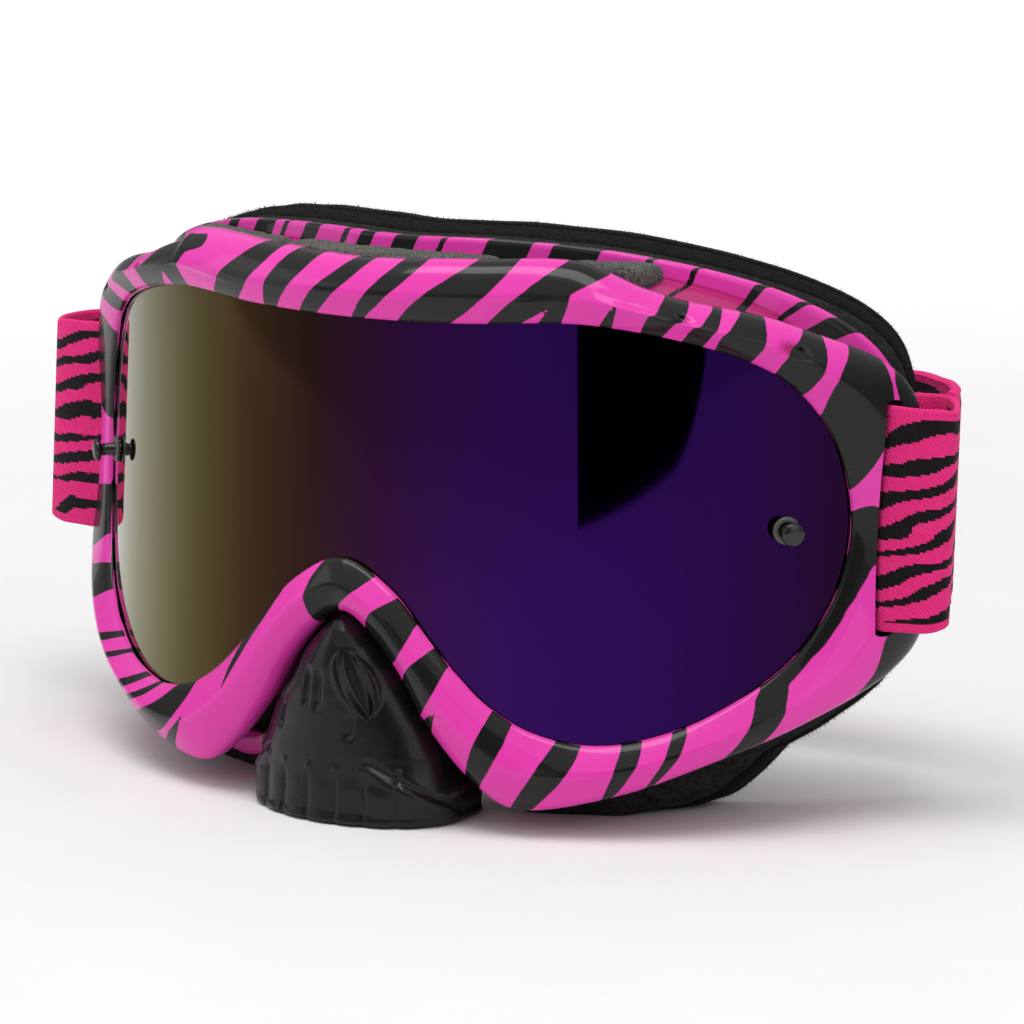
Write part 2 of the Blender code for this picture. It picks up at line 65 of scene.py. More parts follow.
scene.view_settings.view_transform = "Standard"

# %% [markdown]
# ## Camera
# A product shot is taken from a little above and to one side with a long lens, so that the near
# and far ends of the frame keep nearly the same size.  The camera aims along a fixed direction and
# its place is set off sideways from that line instead of using lens shift, because the turned
# views keep whatever shift the camera has.

# %% Make the camera
CAMERA_AZIMUTH = 0.5456374     # radians from the front towards +X
CAMERA_ELEVATION = 0.2055462   # radians above level
CAMERA_DISTANCE = 893.2        # millimetres from the point aimed at
CAMERA_ASIDE = (31.04, 3.38)   # millimetres across and up from the aiming line
FOCAL_LENGTH = 170.09          # millimetres
MIDDLE_Y = 38.95               # the drawing's origin is the middle of the lens front
EYE_HEIGHT = 54.0              # and it stands this far above the table

az, el = CAMERA_AZIMUTH, CAMERA_ELEVATION
back = Vector((math.sin(az) * math.cos(el), -math.cos(az) * math.cos(el), math.sin(el)))
across = Vector((math.cos(az), math.sin(az), 0.0))
upward = back.cross(across)
aim = Vector((0.0, -MIDDLE_Y, EYE_HEIGHT))
place = aim + back * CAMERA_DISTANCE + across * CAMERA_ASIDE[0] + upward * CAMERA_ASIDE[1]
camera = bpy.data.objects.new("camera", bpy.data.cameras.new("camera"))
scene.collection.objects.link(camera)
camera.matrix_world = Matrix.LocRotScale(
    place * MM, Matrix((across, upward, back)).transposed().to_quaternion(), None)
camera.data.lens = FOCAL_LENGTH
camera.data.clip_start = 0.01
scene.camera = camera
print("camera at", [round(v, 3) for v in camera.location])

# %% [markdown]
# ## Drawing helpers
# The lens is a slice of a cylinder about an upright axis, and everything in front is drawn on it as
# a distance along the lens, a height, and a distance out of it.  Behind the lens the drawing uses
# plain x, height and depth.  The whole front leans back a little as it rises.

# %% Coordinates and splines
WRAP_RADIUS = 102.5
LEAN = 0.08


def world(x, y, z):
    """Drawing millimetres to metres on the table."""
    x, y, z = np.broadcast_arrays(x, y, z)
    return np.stack([x, y - MIDDLE_Y, z + EYE_HEIGHT], axis=-1) * MM


def on_lens(arc, z, out=0.0):
    """Points at a distance along the lens, at a height, standing out of it."""
    angle = np.asarray(arc) / WRAP_RADIUS
    radius = WRAP_RADIUS + out
    return world(radius * np.sin(angle), WRAP_RADIUS - radius * np.cos(angle) + LEAN * z, z)


def behind_lens(x, z, depth):
    """Points at x and a height, straight behind the lens."""
    return world(x, WRAP_RADIUS - np.sqrt(WRAP_RADIUS ** 2 - x ** 2) + depth + LEAN * z, z)


def spline(values, place):
    """Catmull-Rom values at places counted in list steps."""
    values = np.asarray(values, float)
    i = np.clip(np.asarray(place).astype(int), 0, len(values) - 2)
    t = place - i
    ends = np.concatenate([[2 * values[0] - values[1]], values, [2 * values[-1] - values[-2]]])
    p0, p1, p2, p3 = (ends[i + k] for k in range(4))
    return 0.5 * (2 * p1 + (p2 - p0) * t + (2 * p0 - 5 * p1 + 4 * p2 - p3) * t ** 2
                  + (3 * p1 - p0 - 3 * p2 + p3) * t ** 3)


def smooth(x, low=0.0, high=1.0):
    """0 below low, 1 above high, and an even S between them."""
    t = np.clip((np.asarray(x, float) - low) / (high - low), 0.0, 1.0)
    return t * t * (3 - 2 * t)


def bump(x, middle, width):
    """A soft hump of height 1."""
    return np.exp(-((x - middle) / width) ** 2)


def squared_circle(count, power_a, power_b):
    """Points round a softened square from -1 to 1; a lower power is squarer."""
    turn = np.linspace(0, 2 * np.pi, count + 1)[:-1]
    a, b = np.cos(turn), np.sin(turn)
    return np.sign(a) * np.abs(a) ** power_a, np.sign(b) * np.abs(b) ** power_b


print("the front leans back", round(math.degrees(math.atan(LEAN)), 1), "degrees")

# %% Mesh helpers
def new_object(name, mesh, *materials):
    for item in materials:
        mesh.materials.append(item)
    thing = bpy.data.objects.new(name, mesh)
    scene.collection.objects.link(thing)
    return thing


def volume_of(points, faces):
    """Signed volume of a closed skin, to tell whether its faces point out."""
    a, b, c = (points[faces[:, k]] for k in range(3))
    total = np.einsum("ij,ij->", a, np.cross(b, c))
    if faces.shape[1] == 4:
        d = points[faces[:, 3]]
        total += np.einsum("ij,ij->", a, np.cross(c, d))
    return total / 6


def skin(name, grid, *materials, around=True, along=True, caps=False, uv=None, period=(0.0, 0.0),
         crease=None):
    """A piece from a grid of points [row, column]; each direction may close on itself.

    uv is a grid of pattern coordinates in millimetres, and period is what u grows by when the
    rows close and v by when the columns close.  caps fills the first and last row of a tube.
    """
    rows, cols, _ = grid.shape
    points = grid.reshape(-1, 3)
    index = np.arange(rows * cols).reshape(rows, cols)
    r, c = np.meshgrid(np.arange(rows if along else rows - 1),
                       np.arange(cols if around else cols - 1), indexing="ij")
    r, c = r.ravel(), c.ravel()
    r2, c2 = (r + 1) % rows, (c + 1) % cols
    faces = np.stack([index[r, c], index[r, c2], index[r2, c2], index[r2, c]], -1)
    corner_uv = None
    if uv is not None:
        wide = np.concatenate([uv, uv[:1] + np.array([period[0], 0.0])], 0)
        wide = np.concatenate([wide, wide[:, :1] + np.array([0.0, period[1]])], 1)
        corner_uv = np.stack([wide[r, c], wide[r, c + 1], wide[r + 1, c + 1], wide[r + 1, c]], 1)
    if volume_of(points, faces) < 0:
        faces = faces[:, ::-1]
        corner_uv = corner_uv[:, ::-1] if corner_uv is not None else None
    listed = faces.tolist()
    if caps:
        first, last = index[0].tolist(), index[-1].tolist()
        # a cap's winding is the reverse of the edge that it closes
        edge = (faces[0][0], faces[0][1])
        flip = edge == (first[0], first[1]) or (faces[0][2], faces[0][3]) == (first[0], first[1])
        listed.append(first[::-1] if flip else first)
        listed.append(last if flip else last[::-1])
    mesh = bpy.data.meshes.new(name)
    mesh.from_pydata(points.tolist(), [], listed)
    if corner_uv is not None:
        layer = mesh.uv_layers.new(name="pattern")
        flat = np.zeros((len(mesh.loops), 2))
        flat[:corner_uv.size // 2] = corner_uv.reshape(-1, 2)
        layer.data.foreach_set("uv", flat.astype(np.float32).ravel())
    mesh.update()
    mesh.shade_smooth()
    if crease is not None:
        mesh.set_sharp_from_angle(angle=math.radians(crease))
    return new_object(name, mesh, *materials)


def plain_mesh(thing):
    """Turn a piece with modifiers into its plain evaluated mesh."""
    bpy.context.view_layer.update()
    made = bpy.data.meshes.new_from_object(
        thing.evaluated_get(bpy.context.evaluated_depsgraph_get()))
    thing.modifiers.clear()
    thing.data = made
    return thing


def cut_away(thing, cutter):
    """Take a closed cutter out of a piece, then remove the cutter."""
    cut = thing.modifiers.new("cut", "BOOLEAN")
    cut.object, cut.operation, cut.solver = cutter, "DIFFERENCE", "EXACT"
    plain_mesh(thing)
    bpy.data.objects.remove(cutter)


def face_outwards(bm):
    """Turn every face of a closed shell outwards."""
    bmesh.ops.recalc_face_normals(bm, faces=bm.faces)
    if bm.calc_volume(signed=True) < 0:
        bmesh.ops.reverse_faces(bm, faces=bm.faces)


def finish_piece(thing, body, slot, *nodes, fill=None):
    """Say what a piece rides on and the CAD nodes that it stands for; its material slot is not used."""
    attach(thing, body)
    if nodes:
        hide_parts(*nodes)
    print(thing.name, len(thing.data.polygons), "faces on", body)
    return thing


# %% [markdown]
# ## Shader helpers and shared effects
# Several finishes share the same effects: the fine orange-peel of moulded and painted plastic, and
# the faint dust and scuffs that break up a gloss.  Each is a node group with named inputs, built
# once.  They give out heights and masks only; the shader itself stays in each material.

# %% Shader helpers
def set_socket(tree, socket, value):
    """Give a socket a link or a plain value."""
    if isinstance(value, bpy.types.NodeSocket):
        tree.links.new(value, socket)
    else:
        socket.default_value = value


def node(tree, kind, values=None, **settings):
    """One node of any tree: settings are its own fields, values its sockets."""
    made = tree.nodes.new(kind)
    for key, value in settings.items():
        setattr(made, key, value)
    for key, value in (values or {}).items():
        set_socket(tree, made.inputs[key], value)
    return made


def add(tree, kind, values=None, **settings):
    """One shader node."""
    return node(tree, "ShaderNode" + kind, values, **settings)


def ramp(tree, factor, stops, interpolation="LINEAR"):
    """A colour ramp from (place, colour) stops."""
    made = add(tree, "ValToRGB", {"Fac": factor})
    made.color_ramp.interpolation = interpolation
    elements = made.color_ramp.elements
    while len(elements) < len(stops):
        elements.new(0.5)
    for element, (place, colour) in zip(elements, stops):
        element.position = place
        element.color = (*colour, 1.0)
    return made.outputs["Color"]


def maths(tree, operation, a, b=0.0, c=0.0, clamp=False):
    """One step of arithmetic on numbers or sockets."""
    made = add(tree, "Math", {0: a, 1: b, 2: c}, operation=operation, use_clamp=clamp)
    return made.outputs[0]


def step(tree, value, low, high):
    """0 to 1 as the value goes from low to high, with soft ends."""
    made = add(tree, "MapRange", {"Value": value, "From Min": low, "From Max": high},
               interpolation_type="SMOOTHSTEP")
    return made.outputs["Result"]


def blend(tree, factor, a, b, mode="MIX"):
    """Mix two colours, given as sockets or as RGB."""
    made = add(tree, "Mix", {0: factor}, data_type="RGBA", blend_type=mode)
    for socket, value in ((made.inputs[6], a), (made.inputs[7], b)):
        set_socket(tree, socket, (*value, 1.0) if isinstance(value, tuple) else value)
    return made.outputs[2]


def noise(tree, vector, scale, detail=2.0, roughness=0.5):
    """Soft random patches from 0 to 1."""
    return add(tree, "TexNoise", {"Vector": vector, "Scale": scale, "Detail": detail,
                                  "Roughness": roughness}).outputs["Fac"]


def material(name, **constants):
    """A new material, its tree, its shader and Object coordinates; constants go on the shader."""
    made = bpy.data.materials.new(name)
    made.use_nodes = True
    tree = made.node_tree
    shader = tree.nodes["Principled BSDF"]
    for key, value in constants.items():
        shader.inputs[key.replace("_", " ")].default_value = value
    place = add(tree, "TexCoord").outputs["Object"]
    return made, tree, shader, place


def feed(tree, shader, colour=None, roughness=None, height=None, depth=0.0001):
    """Join colour, roughness and a bump height to a shader."""
    if colour is not None:
        tree.links.new(colour, shader.inputs["Base Color"])
    if roughness is not None:
        tree.links.new(roughness, shader.inputs["Roughness"])
    if height is not None:
        made = add(tree, "Bump", {"Height": height, "Distance": depth, "Strength": 1.0})
        tree.links.new(made.outputs["Normal"], shader.inputs["Normal"])


def group(kind, name, inputs, output):
    """A node group with (name, type, value) inputs and one (name, type) output."""
    tree = bpy.data.node_groups.new(name, kind)
    for label, socket_type, value in inputs:
        socket = tree.interface.new_socket(label, in_out="INPUT",
                                           socket_type="NodeSocket" + socket_type)
        if value is not None:
            socket.default_value = value
    tree.interface.new_socket(output[0], in_out="OUTPUT", socket_type="NodeSocket" + output[1])
    start = tree.nodes.new("NodeGroupInput").outputs
    end = tree.nodes.new("NodeGroupOutput").inputs
    return tree, start, end


def effect_group(name, sizes, output):
    """A shared effect: a Vector and named numbers go in, and one number comes out."""
    inputs = [("Vector", "Vector", None)] + [(label, "Float", value) for label, value in sizes]
    return group("ShaderNodeTree", name, inputs, (output, "Float"))


def use(tree, made, vector, **values):
    """Place a shared effect in a material and return its output."""
    return node(tree, "ShaderNodeGroup", {"Vector": vector, **values}, node_tree=made).outputs[0]


# %% Shared effects
orange_peel, start, end = effect_group("orange_peel", [("Scale", 900.0), ("Waviness", 0.3)], "Height")
fine = noise(orange_peel, start["Vector"], start["Scale"])
long_wave = noise(orange_peel, start["Vector"], maths(orange_peel, "MULTIPLY", start["Scale"], 0.12), 1.0)
orange_peel.links.new(maths(orange_peel, "MULTIPLY_ADD", long_wave, start["Waviness"], fine),
                      end["Height"])

scuffs, start, end = effect_group("dust_and_scuffs", [("Scale", 60.0), ("Amount", 1.0)], "Mask")
cloud = noise(scuffs, start["Vector"], start["Scale"], 6.0, 0.65)
stretched = add(scuffs, "Mapping", {"Vector": start["Vector"], "Scale": (1.0, 1.0, 9.0),
                                    "Rotation": (0.5, 0.3, 0.2)}).outputs["Vector"]
hair = noise(scuffs, stretched, maths(scuffs, "MULTIPLY", start["Scale"], 6.0), 3.0)
both = maths(scuffs, "ADD", step(scuffs, cloud, 0.48, 0.8),
             maths(scuffs, "MULTIPLY", step(scuffs, hair, 0.62, 0.72), 0.6))
scuffs.links.new(maths(scuffs, "MULTIPLY", both, start["Amount"], clamp=True), end["Mask"])
print("shared effects", [g.name for g in bpy.data.node_groups])

# %% [markdown]
# ## Floor, lights and sky
# The goggles stand on a pale sheet in a light tent: one big soft light above and a little in front,
# a weaker one at each side, and a sky that is pale above and grey at the sides.  Gloss needs
# something to reflect: large soft lights give the long white bands along the top of the frame, and
# a dark board in front gives the lens its one dark reflection.

# %% Make the stage
paper, tree, shader, place = material("floor_paper", Roughness=0.9, Specular_IOR_Level=0.0)
sheet_white = blend(tree, noise(tree, place, 30.0, 4.0), (0.88, 0.88, 0.88), (0.92, 0.92, 0.92))
feed(tree, shader, sheet_white, height=noise(tree, place, 900.0, 3.0), depth=0.00005)
# the sheet brightens away from the goggles, as it does under the back lights of a light tent
distance = add(tree, "VectorMath", {0: place}, operation="LENGTH").outputs["Value"]
seen = add(tree, "LightPath").outputs["Is Camera Ray"]
lift = maths(tree, "MULTIPLY", step(tree, distance, 0.15, 1.2), seen)
shader.inputs["Emission Color"].default_value = (1.0, 1.0, 1.0, 1.0)
tree.links.new(maths(tree, "MULTIPLY", lift, 0.6), shader.inputs["Emission Strength"])
floor_mesh = bpy.data.meshes.new("floor")
FLOOR_REACH = 30.0         # metres each way
floor_mesh.from_pydata([(x * FLOOR_REACH, y * FLOOR_REACH, 0)
                        for x, y in ((-1, -1), (1, -1), (1, 1), (-1, 1))], [], [(0, 1, 2, 3)])
new_object("floor", floor_mesh, paper)

sky = bpy.data.worlds.new("tent")
sky.use_nodes = True
scene.world = sky
tree = sky.node_tree
height = add(tree, "SeparateXYZ", {0: add(tree, "TexCoord").outputs["Generated"]}).outputs["Z"]
SKY_SIDE = (0.2, 0.2, 0.2)
SKY_TOP = (0.72, 0.72, 0.72)
tree.links.new(ramp(tree, height, [(0.0, SKY_SIDE), (0.25, SKY_SIDE), (0.6, SKY_TOP)]),
               tree.nodes["Background"].inputs["Color"])
tree.nodes["Background"].inputs["Strength"].default_value = 1.0
LIGHTS_AIM = Vector((0, 0, 0.05))


def softbox(name, place, size, power):
    """A soft rectangular light aimed at the goggles."""
    lamp = bpy.data.lights.new(name, "AREA")
    lamp.shape = "RECTANGLE"
    lamp.size, lamp.size_y = size
    lamp.energy = power
    thing = bpy.data.objects.new(name, lamp)
    scene.collection.objects.link(thing)
    thing.location = place
    thing.rotation_euler = (LIGHTS_AIM - Vector(place)).to_track_quat("-Z", "Y").to_euler()


softbox("light_top", (0.0, -0.25, 1.1), (1.0, 0.42), 6.0)
softbox("light_left", (-1.1, -0.7, 0.5), (0.7, 0.9), 1.7)
softbox("light_right", (1.2, -0.5, 0.6), (0.7, 0.9), 1.7)
# a dark board stands in front, out of the picture; the lens shows its rounded lower corner
BOARD_Y = -0.56            # metres; the board's outline is in metres too
turn = np.linspace(0, -np.pi / 2, 17)
edge = [(0.208, 0.45), (0.64, 0.45)]
edge += [(0.50 + 0.14 * math.cos(t), 0.062 + 0.042 * math.sin(t)) for t in turn]
edge += [(0.243, 0.02), (0.222, 0.08)]
board_mesh = bpy.data.meshes.new("dark_board")
board_mesh.from_pydata([(x, BOARD_Y, z) for x, z in edge], [], [tuple(range(len(edge)))])
board_black, tree, shader, place = material("board_black", Roughness=0.9, Specular_IOR_Level=0.0)
feed(tree, shader, blend(tree, noise(tree, place, 20.0), (0.004, 0.004, 0.004),
                         (0.008, 0.008, 0.008)))
board = new_object("dark_board", board_mesh, board_black)
board.visible_camera = board.visible_shadow = board.visible_diffuse = False
print("stage:", len(bpy.data.lights), "lights, a floor and a board")

# %% [markdown]
# ## Frame shell
# The frame is one moulding that runs right round the lens: a lip over the lens edge, a crowned
# bezel, a channel for air behind the bezel, and a flange that carries the face foam.  It could be
# cut from a block, but its section changes all the way round, so it is a loft: one closed section
# at each of many stations, with every size taken from a table of the outline.

# %% Outline table and sizes of the frame
# opening (along the lens, height), bezel edge, face flange (x, height), channel depth
OUTLINE = (
    ((0.0, 39.5), (0.0, 50.3), (0.0, 52.6), 3.2),
    ((22.0, 39.8), (22.0, 51.2), (21.0, 52.9), 3.2),
    ((45.0, 40.4), (44.0, 51.4), (40.0, 51.6), 3.2),
    ((66.0, 36.6), (65.5, 45.6), (57.5, 47.8), 3.2),
    ((81.0, 30.6), (86.5, 38.5), (70.5, 42.0), 4.0),
    ((90.5, 21.5), (104.0, 31.0), (80.0, 33.0), 9.0),
    ((95.3, 11.5), (112.5, 20.0), (84.6, 20.0), 13.5),
    ((96.7, 0.0), (116.0, 1.0), (85.5, 2.0), 14.0),
    ((94.0, -11.0), (114.8, -17.0), (84.8, -16.0), 13.5),
    ((87.0, -21.0), (107.5, -26.0), (80.5, -27.5), 9.0),
    ((76.5, -28.6), (90.0, -34.0), (71.5, -36.0), 4.5),
    ((64.0, -34.2), (72.0, -40.5), (60.0, -43.0), 3.2),
    ((51.0, -36.6), (55.0, -46.2), (48.0, -48.5), 3.2),
    ((39.5, -34.8), (37.0, -49.2), (33.5, -50.8), 3.2),
    ((31.0, -30.5), (27.5, -44.3), (24.5, -46.5), 3.5),
    ((24.0, -24.5), (18.5, -34.8), (15.0, -36.5), 5.0),
    ((18.0, -18.0), (12.2, -25.2), (9.0, -27.0), 5.0),
    ((10.5, -10.0), (5.8, -18.2), (4.2, -19.5), 3.3),
    ((0.0, -4.9), (0.0, -15.2), (0.0, -16.2), 3.0),
)
LIP_HEIGHT = 0.3
RIM_REAR = 4.2
WALL = 2.1
FLANGE_DEPTH = 17.0
FLANGE_THICKNESS = 2.2
FLANGE_WIDTH = 9.0
LENS_GROOVE = 3.0
GAP = 0.3
LENS_THICKNESS = 1.3
LENS_FRONT = 0.4
LENS_OVERLAP = 2.6
FRAME_STATIONS = 620


def outline(share):
    """Opening, edge, flange and channel depth at shares of the half outline, as arrays."""
    place = 1 + np.asarray(share) * (len(OUTLINE) - 1)

    def column(values, sign):
        return spline([sign * values[1]] + list(values) + [sign * values[-2]], place)

    lines = [(column([row[k][0] for row in OUTLINE], -1), column([row[k][1] for row in OUTLINE], 1))
             for k in range(3)]
    return *lines, column([row[3] for row in OUTLINE], 1)


def across_bezel(opening, edge):
    """The direction from the bezel's edge to the opening, of length 1, and how far it is."""
    x, z = opening[0] - edge[0], opening[1] - edge[1]
    far = np.hypot(x, z)
    return x / far, z / far, far


def ring_stations(count):
    """Evenly spaced stations round the whole frame: distance along it, share and side."""
    share = np.linspace(0, 1, 2001)
    opening, edge, _, _ = outline(share)
    middle = np.array([(opening[0] + edge[0]) / 2, (opening[1] + edge[1]) / 2])
    length = np.concatenate([[0], np.cumsum(np.hypot(*np.diff(middle, axis=1)))])
    around = (np.arange(count) / count * 2 - 1) * length[-1]
    share = np.interp(np.abs(around), length, share)
    return around, share, np.where(around < 0, -1.0, 1.0), length[-1]


along, share, side, half_way = ring_stations(FRAME_STATIONS)
print("half way round the frame is", round(half_way, 1), "mm")

# %% [markdown]
# ### Painted stripes
# The paint is a zebra pattern: dark bands that cross the bezel on a slant and taper to points.
# A drawn texture would need an image, so each band is a small list instead.  A crossing band is
# given by where it starts and ends along the lens edge and along the outer rim, and a running band
# is a bent line with a half width at each point.  The distance to the nearest band is stored on
# the mesh, and the material turns it into a crisp edge.

# %% Stripe tables and their distance field
CROSSING = (
    (-34.2, -27.3, -22.5, -17.0), (-20.2, -17.0, -13.5, -7.5), (-11.4, -7.5, 0.0, 4.0),
    (0.4, 3.1, 10.2, 15.2), (10.0, 20.4, 24.8, 33.0), (27.3, 33.4, 42.0, 50.0),
    (36.4, 40.5, 46.9, 44.9), (47.3, 49.7, 54.2, 52.4), (54.9, 58.8, 60.2, 64.8),
    (62.7, 67.0, 69.1, 70.7), (69.6, 77.9, 73.9, 77.9), (84.3, 92.7, 84.7, 88.1),
    (99.0, 117.2, 92.7, 99.2), (185.0, 188.3, 198.9, 200.3), (194.8, 199.2, 205.4, 207.0),
    (208.3, 214.4, 217.6, 220.9), (224.2, 228.9, 227.5, 230.5), (240.6, 237.4, 239.0, 241.6),
    (242.8, 247.9, 242.5, 248.5), (253.4, 259.1, 252.3, 261.2), (264.0, 272.9, 271.0, 278.6),
    (-223.7, -214.9, -206.3, -199.2), (-207.6, -205.3, -195.2, -193.3),
    (-200.6, -197.7, -191.6, -190.0), (-188.1, -186.3, -182.6, -181.0),
    (-181.4, -179.1, -177.2, -175.1), (-164.3, -156.3, -165.9, -158.0),
    (-150.0, -139.0, -152.0, -142.0), (-121.0, -96.0, -112.0, -103.0),
    (-60.4, -52.0, -56.0, -46.0), (-72.5, -67.0, -78.0, -67.0), (-87.0, -80.0, -91.0, -84.0),
)
RUNNING = (
    ((124.5, 0.10, 2.4), (130, 0.16, 3.2), (136, 0.08, 1.8), (145, 0.03, 1.3), (156, 0.03, 1.2),
     (164, 0.05, 1.6), (170, 0.25, 2.1), (177, 0.6, 2.2), (184.5, 1.0, 2.0)),
    ((142, 0.78, 3.4), (149, 0.8, 3.4), (156, 0.9, 2.2), (163, 1.0, 1.0)),
    ((105, 1.0, 2.6), (110, 0.8, 2.2), (117, 0.6, 1.6), (124, 0.45, 1.6), (131, 0.32, 2.0)),
    ((-257, 0.02, 0.7), (-250, 0.06, 1.5), (-243, 0.13, 1.5), (-238, 0.28, 0.9), (-235, 0.42, 0.2)),
    ((-212.4, 1.0, 1.4), (-216, 0.7, 1.0), (-221, 0.4, 0.2)),
    ((-45.5, 0.0, 3.0), (-46.5, 0.4, 3.0), (-43.0, 0.75, 2.3), (-38.5, 0.82, 1.6)),
)
BEZEL_WIDTH = 14.0         # what one share across the bezel counts as in millimetres
FLANGE_PINKS = (
    (-34.5, 1.4), (-29, 2.6), (-19, 3.2), (-13, 1.4), (-6, 2.4), (4, 2.5), (12, 4.3), (28, 2.2),
    (45, 4.6), (55, 3.9), (66, 6.0), (78, 3.8), (86, 2.6), (98, 4.0), (110, 3.0), (124, 5.0),
    (141, 4.0), (156, 5.5), (170, 3.0), (186, 5.0), (203, 4.0), (219, 5.5), (237, 4.0), (255, 5.0),
    (-46, 3.4), (-58, 4.5), (-72, 5.0), (-88, 4.0), (-103, 5.0), (-120, 4.0), (-137, 5.5),
    (-152, 3.5), (-168, 5.0), (-186, 4.5), (-204, 4.0), (-222, 5.0), (-241, 4.5), (-260, 4.0),
)


def crossing_distance(a, v):
    """Distance to the nearest crossing band, less than 0 inside it."""
    found = np.full(a.shape, 99.0)
    reach = np.clip(v, -0.1, 1.12)
    for lens_from, lens_to, rim_from, rim_to in CROSSING:
        low = lens_from + (rim_from - lens_from) * reach
        high = lens_to + (rim_to - lens_to) * reach
        swell = 0.12 * (high - low) * np.sin(np.pi * np.clip(reach, 0, 1))
        middle, half = (low + high) / 2, (high - low) / 2 + swell
        slant = BEZEL_WIDTH / math.hypot(BEZEL_WIDTH, (rim_from + rim_to - lens_from - lens_to) / 2)
        for turn in (-2 * half_way, 0.0, 2 * half_way):
            found = np.minimum(found, (np.abs(a + turn - middle) - half) * slant)
    return found


def running_distance(a, v):
    """Distance to the nearest running band, as a chain of tapered lines."""
    found = np.full(a.shape, 99.0)
    for line in RUNNING:
        for (a0, v0, w0), (a1, v1, w1) in zip(line, line[1:]):
            dx, dy = a1 - a0, (v1 - v0) * BEZEL_WIDTH
            px, py = a - a0, (v - v0) * BEZEL_WIDTH
            t = np.clip((px * dx + py * dy) / (dx * dx + dy * dy), 0, 1)
            found = np.minimum(found, np.hypot(px - t * dx, py - t * dy) - (w0 + (w1 - w0) * t))
    return found


def flange_distance(a, depth):
    """The flange has its own paint: light patches on dark, slanting as they go back."""
    found = np.full(a.shape, -99.0)
    for middle, half in FLANGE_PINKS:
        found = np.maximum(found, half - np.abs(a - middle - 0.35 * depth))
    return np.minimum(found, 3.0)


print(len(CROSSING), "crossing and", len(RUNNING), "running bands")

# %% [markdown]
# ### Sculpting the bezel
# Across the bezel the surface rises from the lip to a soft ridge and falls away to the rim, so that
# the part above the ridge faces the sky and shines pale.  The middle of the brow stands higher than
# the two brow lobes beside it, with a short step and a valley where they meet, and each lobe has
# two pressed dimples.  All of this is added to the section as heights.

# %% Section of the frame
PROFILE = ((0.0, LIP_HEIGHT), (0.015, 0.8), (0.06, 1.35), (0.18, 2.25), (0.33, 3.15), (0.42, 3.58),
           (0.5, 3.6), (0.6, 3.2), (0.75, 2.35), (0.88, 1.25), (0.96, 0.1), (1.0, -1.1),
           (1.0, -2.4), (0.99, -3.5), (0.975, -4.2))
PROFILE_STEPS = 60
DIMPLES = ((62.5, 0.66, 1.7, 1.0), (84.0, 0.56, 2.3, 1.2))
STEP_AT = 45.5             # where the raised middle of the brow ends

stations = np.linspace(0, len(PROFILE) - 1, PROFILE_STEPS)
profile_v = spline([p[0] for p in PROFILE], stations)
profile_h = spline([p[1] for p in PROFILE], stations)
opening, edge, flange, channel = outline(share)
nx, nz, width = across_bezel(opening, edge)


def bezel(distance, out):
    """Points outwards from the lens opening; arguments are [station] or [station, step] arrays."""
    distance, out = np.asarray(distance, float), np.asarray(out, float)
    grow = (slice(None), None) if distance.ndim == 2 else (slice(None),)
    s = side[grow] * (opening[0][grow] - nx[grow] * distance)
    return on_lens(s, opening[1][grow] - nz[grow] * distance, out)


def face(inwards, depth):
    """Points inwards from the flange edge, behind the lens."""
    x = side * (flange[0] + nx * inwards)
    return behind_lens(x, flange[1] + nz * inwards, depth)


V = np.repeat(profile_v[None, :], FRAME_STATIONS, 0)
H = np.repeat(profile_h[None, :], FRAME_STATIONS, 0)
A = np.repeat(along[:, None], PROFILE_STEPS, 1)
far_a = np.abs(A)
upper = smooth(V, 0.35, 0.7)
# the step down from the raised middle to the lobes, and the valley between
soft = np.where(A > 0, 9.0, 3.0)
sink = 2.1 * smooth((far_a - STEP_AT) / soft, -0.3, 1.3) * (1 - smooth(far_a, 60, 82)) * upper
valley = np.where(A > 0, 0.35, 0.8) * bump(far_a, STEP_AT + soft * 0.4, soft) * smooth(V, 0.3, 0.6)
lobe = 0.8 * bump(far_a, 62, 13) * bump(V, 0.5, 0.3)
crease_line = 0.28 * bump(V - (0.34 + 0.006 * (far_a - 30)), 0, 0.035) * bump(far_a, 37, 9)


def dimple_reach(place_along, place_across, wide):
    """Distance from a dimple's middle, where 1 is its edge."""
    return np.hypot((far_a - place_along) / wide, (V - place_across) * width[:, None] / (0.55 * wide))


for *dimple, deep in DIMPLES:
    H = H - deep * np.exp(-dimple_reach(*dimple) ** 2.6)
front = PROFILE_STEPS - 4
raised = (1 - smooth(np.arange(PROFILE_STEPS), front - 6, front))[None, :]
H = H + (lobe - valley + crease_line) * raised
distance = V * width[:, None] - sink
rim_points = bezel(distance, H)
neck = np.minimum(channel, FLANGE_WIDTH - WALL - 1.2)
flange_front = FLANGE_DEPTH - FLANGE_THICKNESS
rear_of_lens = LENS_FRONT + LENS_THICKNESS + GAP
ones = np.ones(FRAME_STATIONS)


def spread(a, b, steps):
    """Points between two section points, without the last."""
    t = np.linspace(0, 1, steps + 1)[None, :-1, None]
    return a[:, None] * (1 - t) + b[:, None] * t


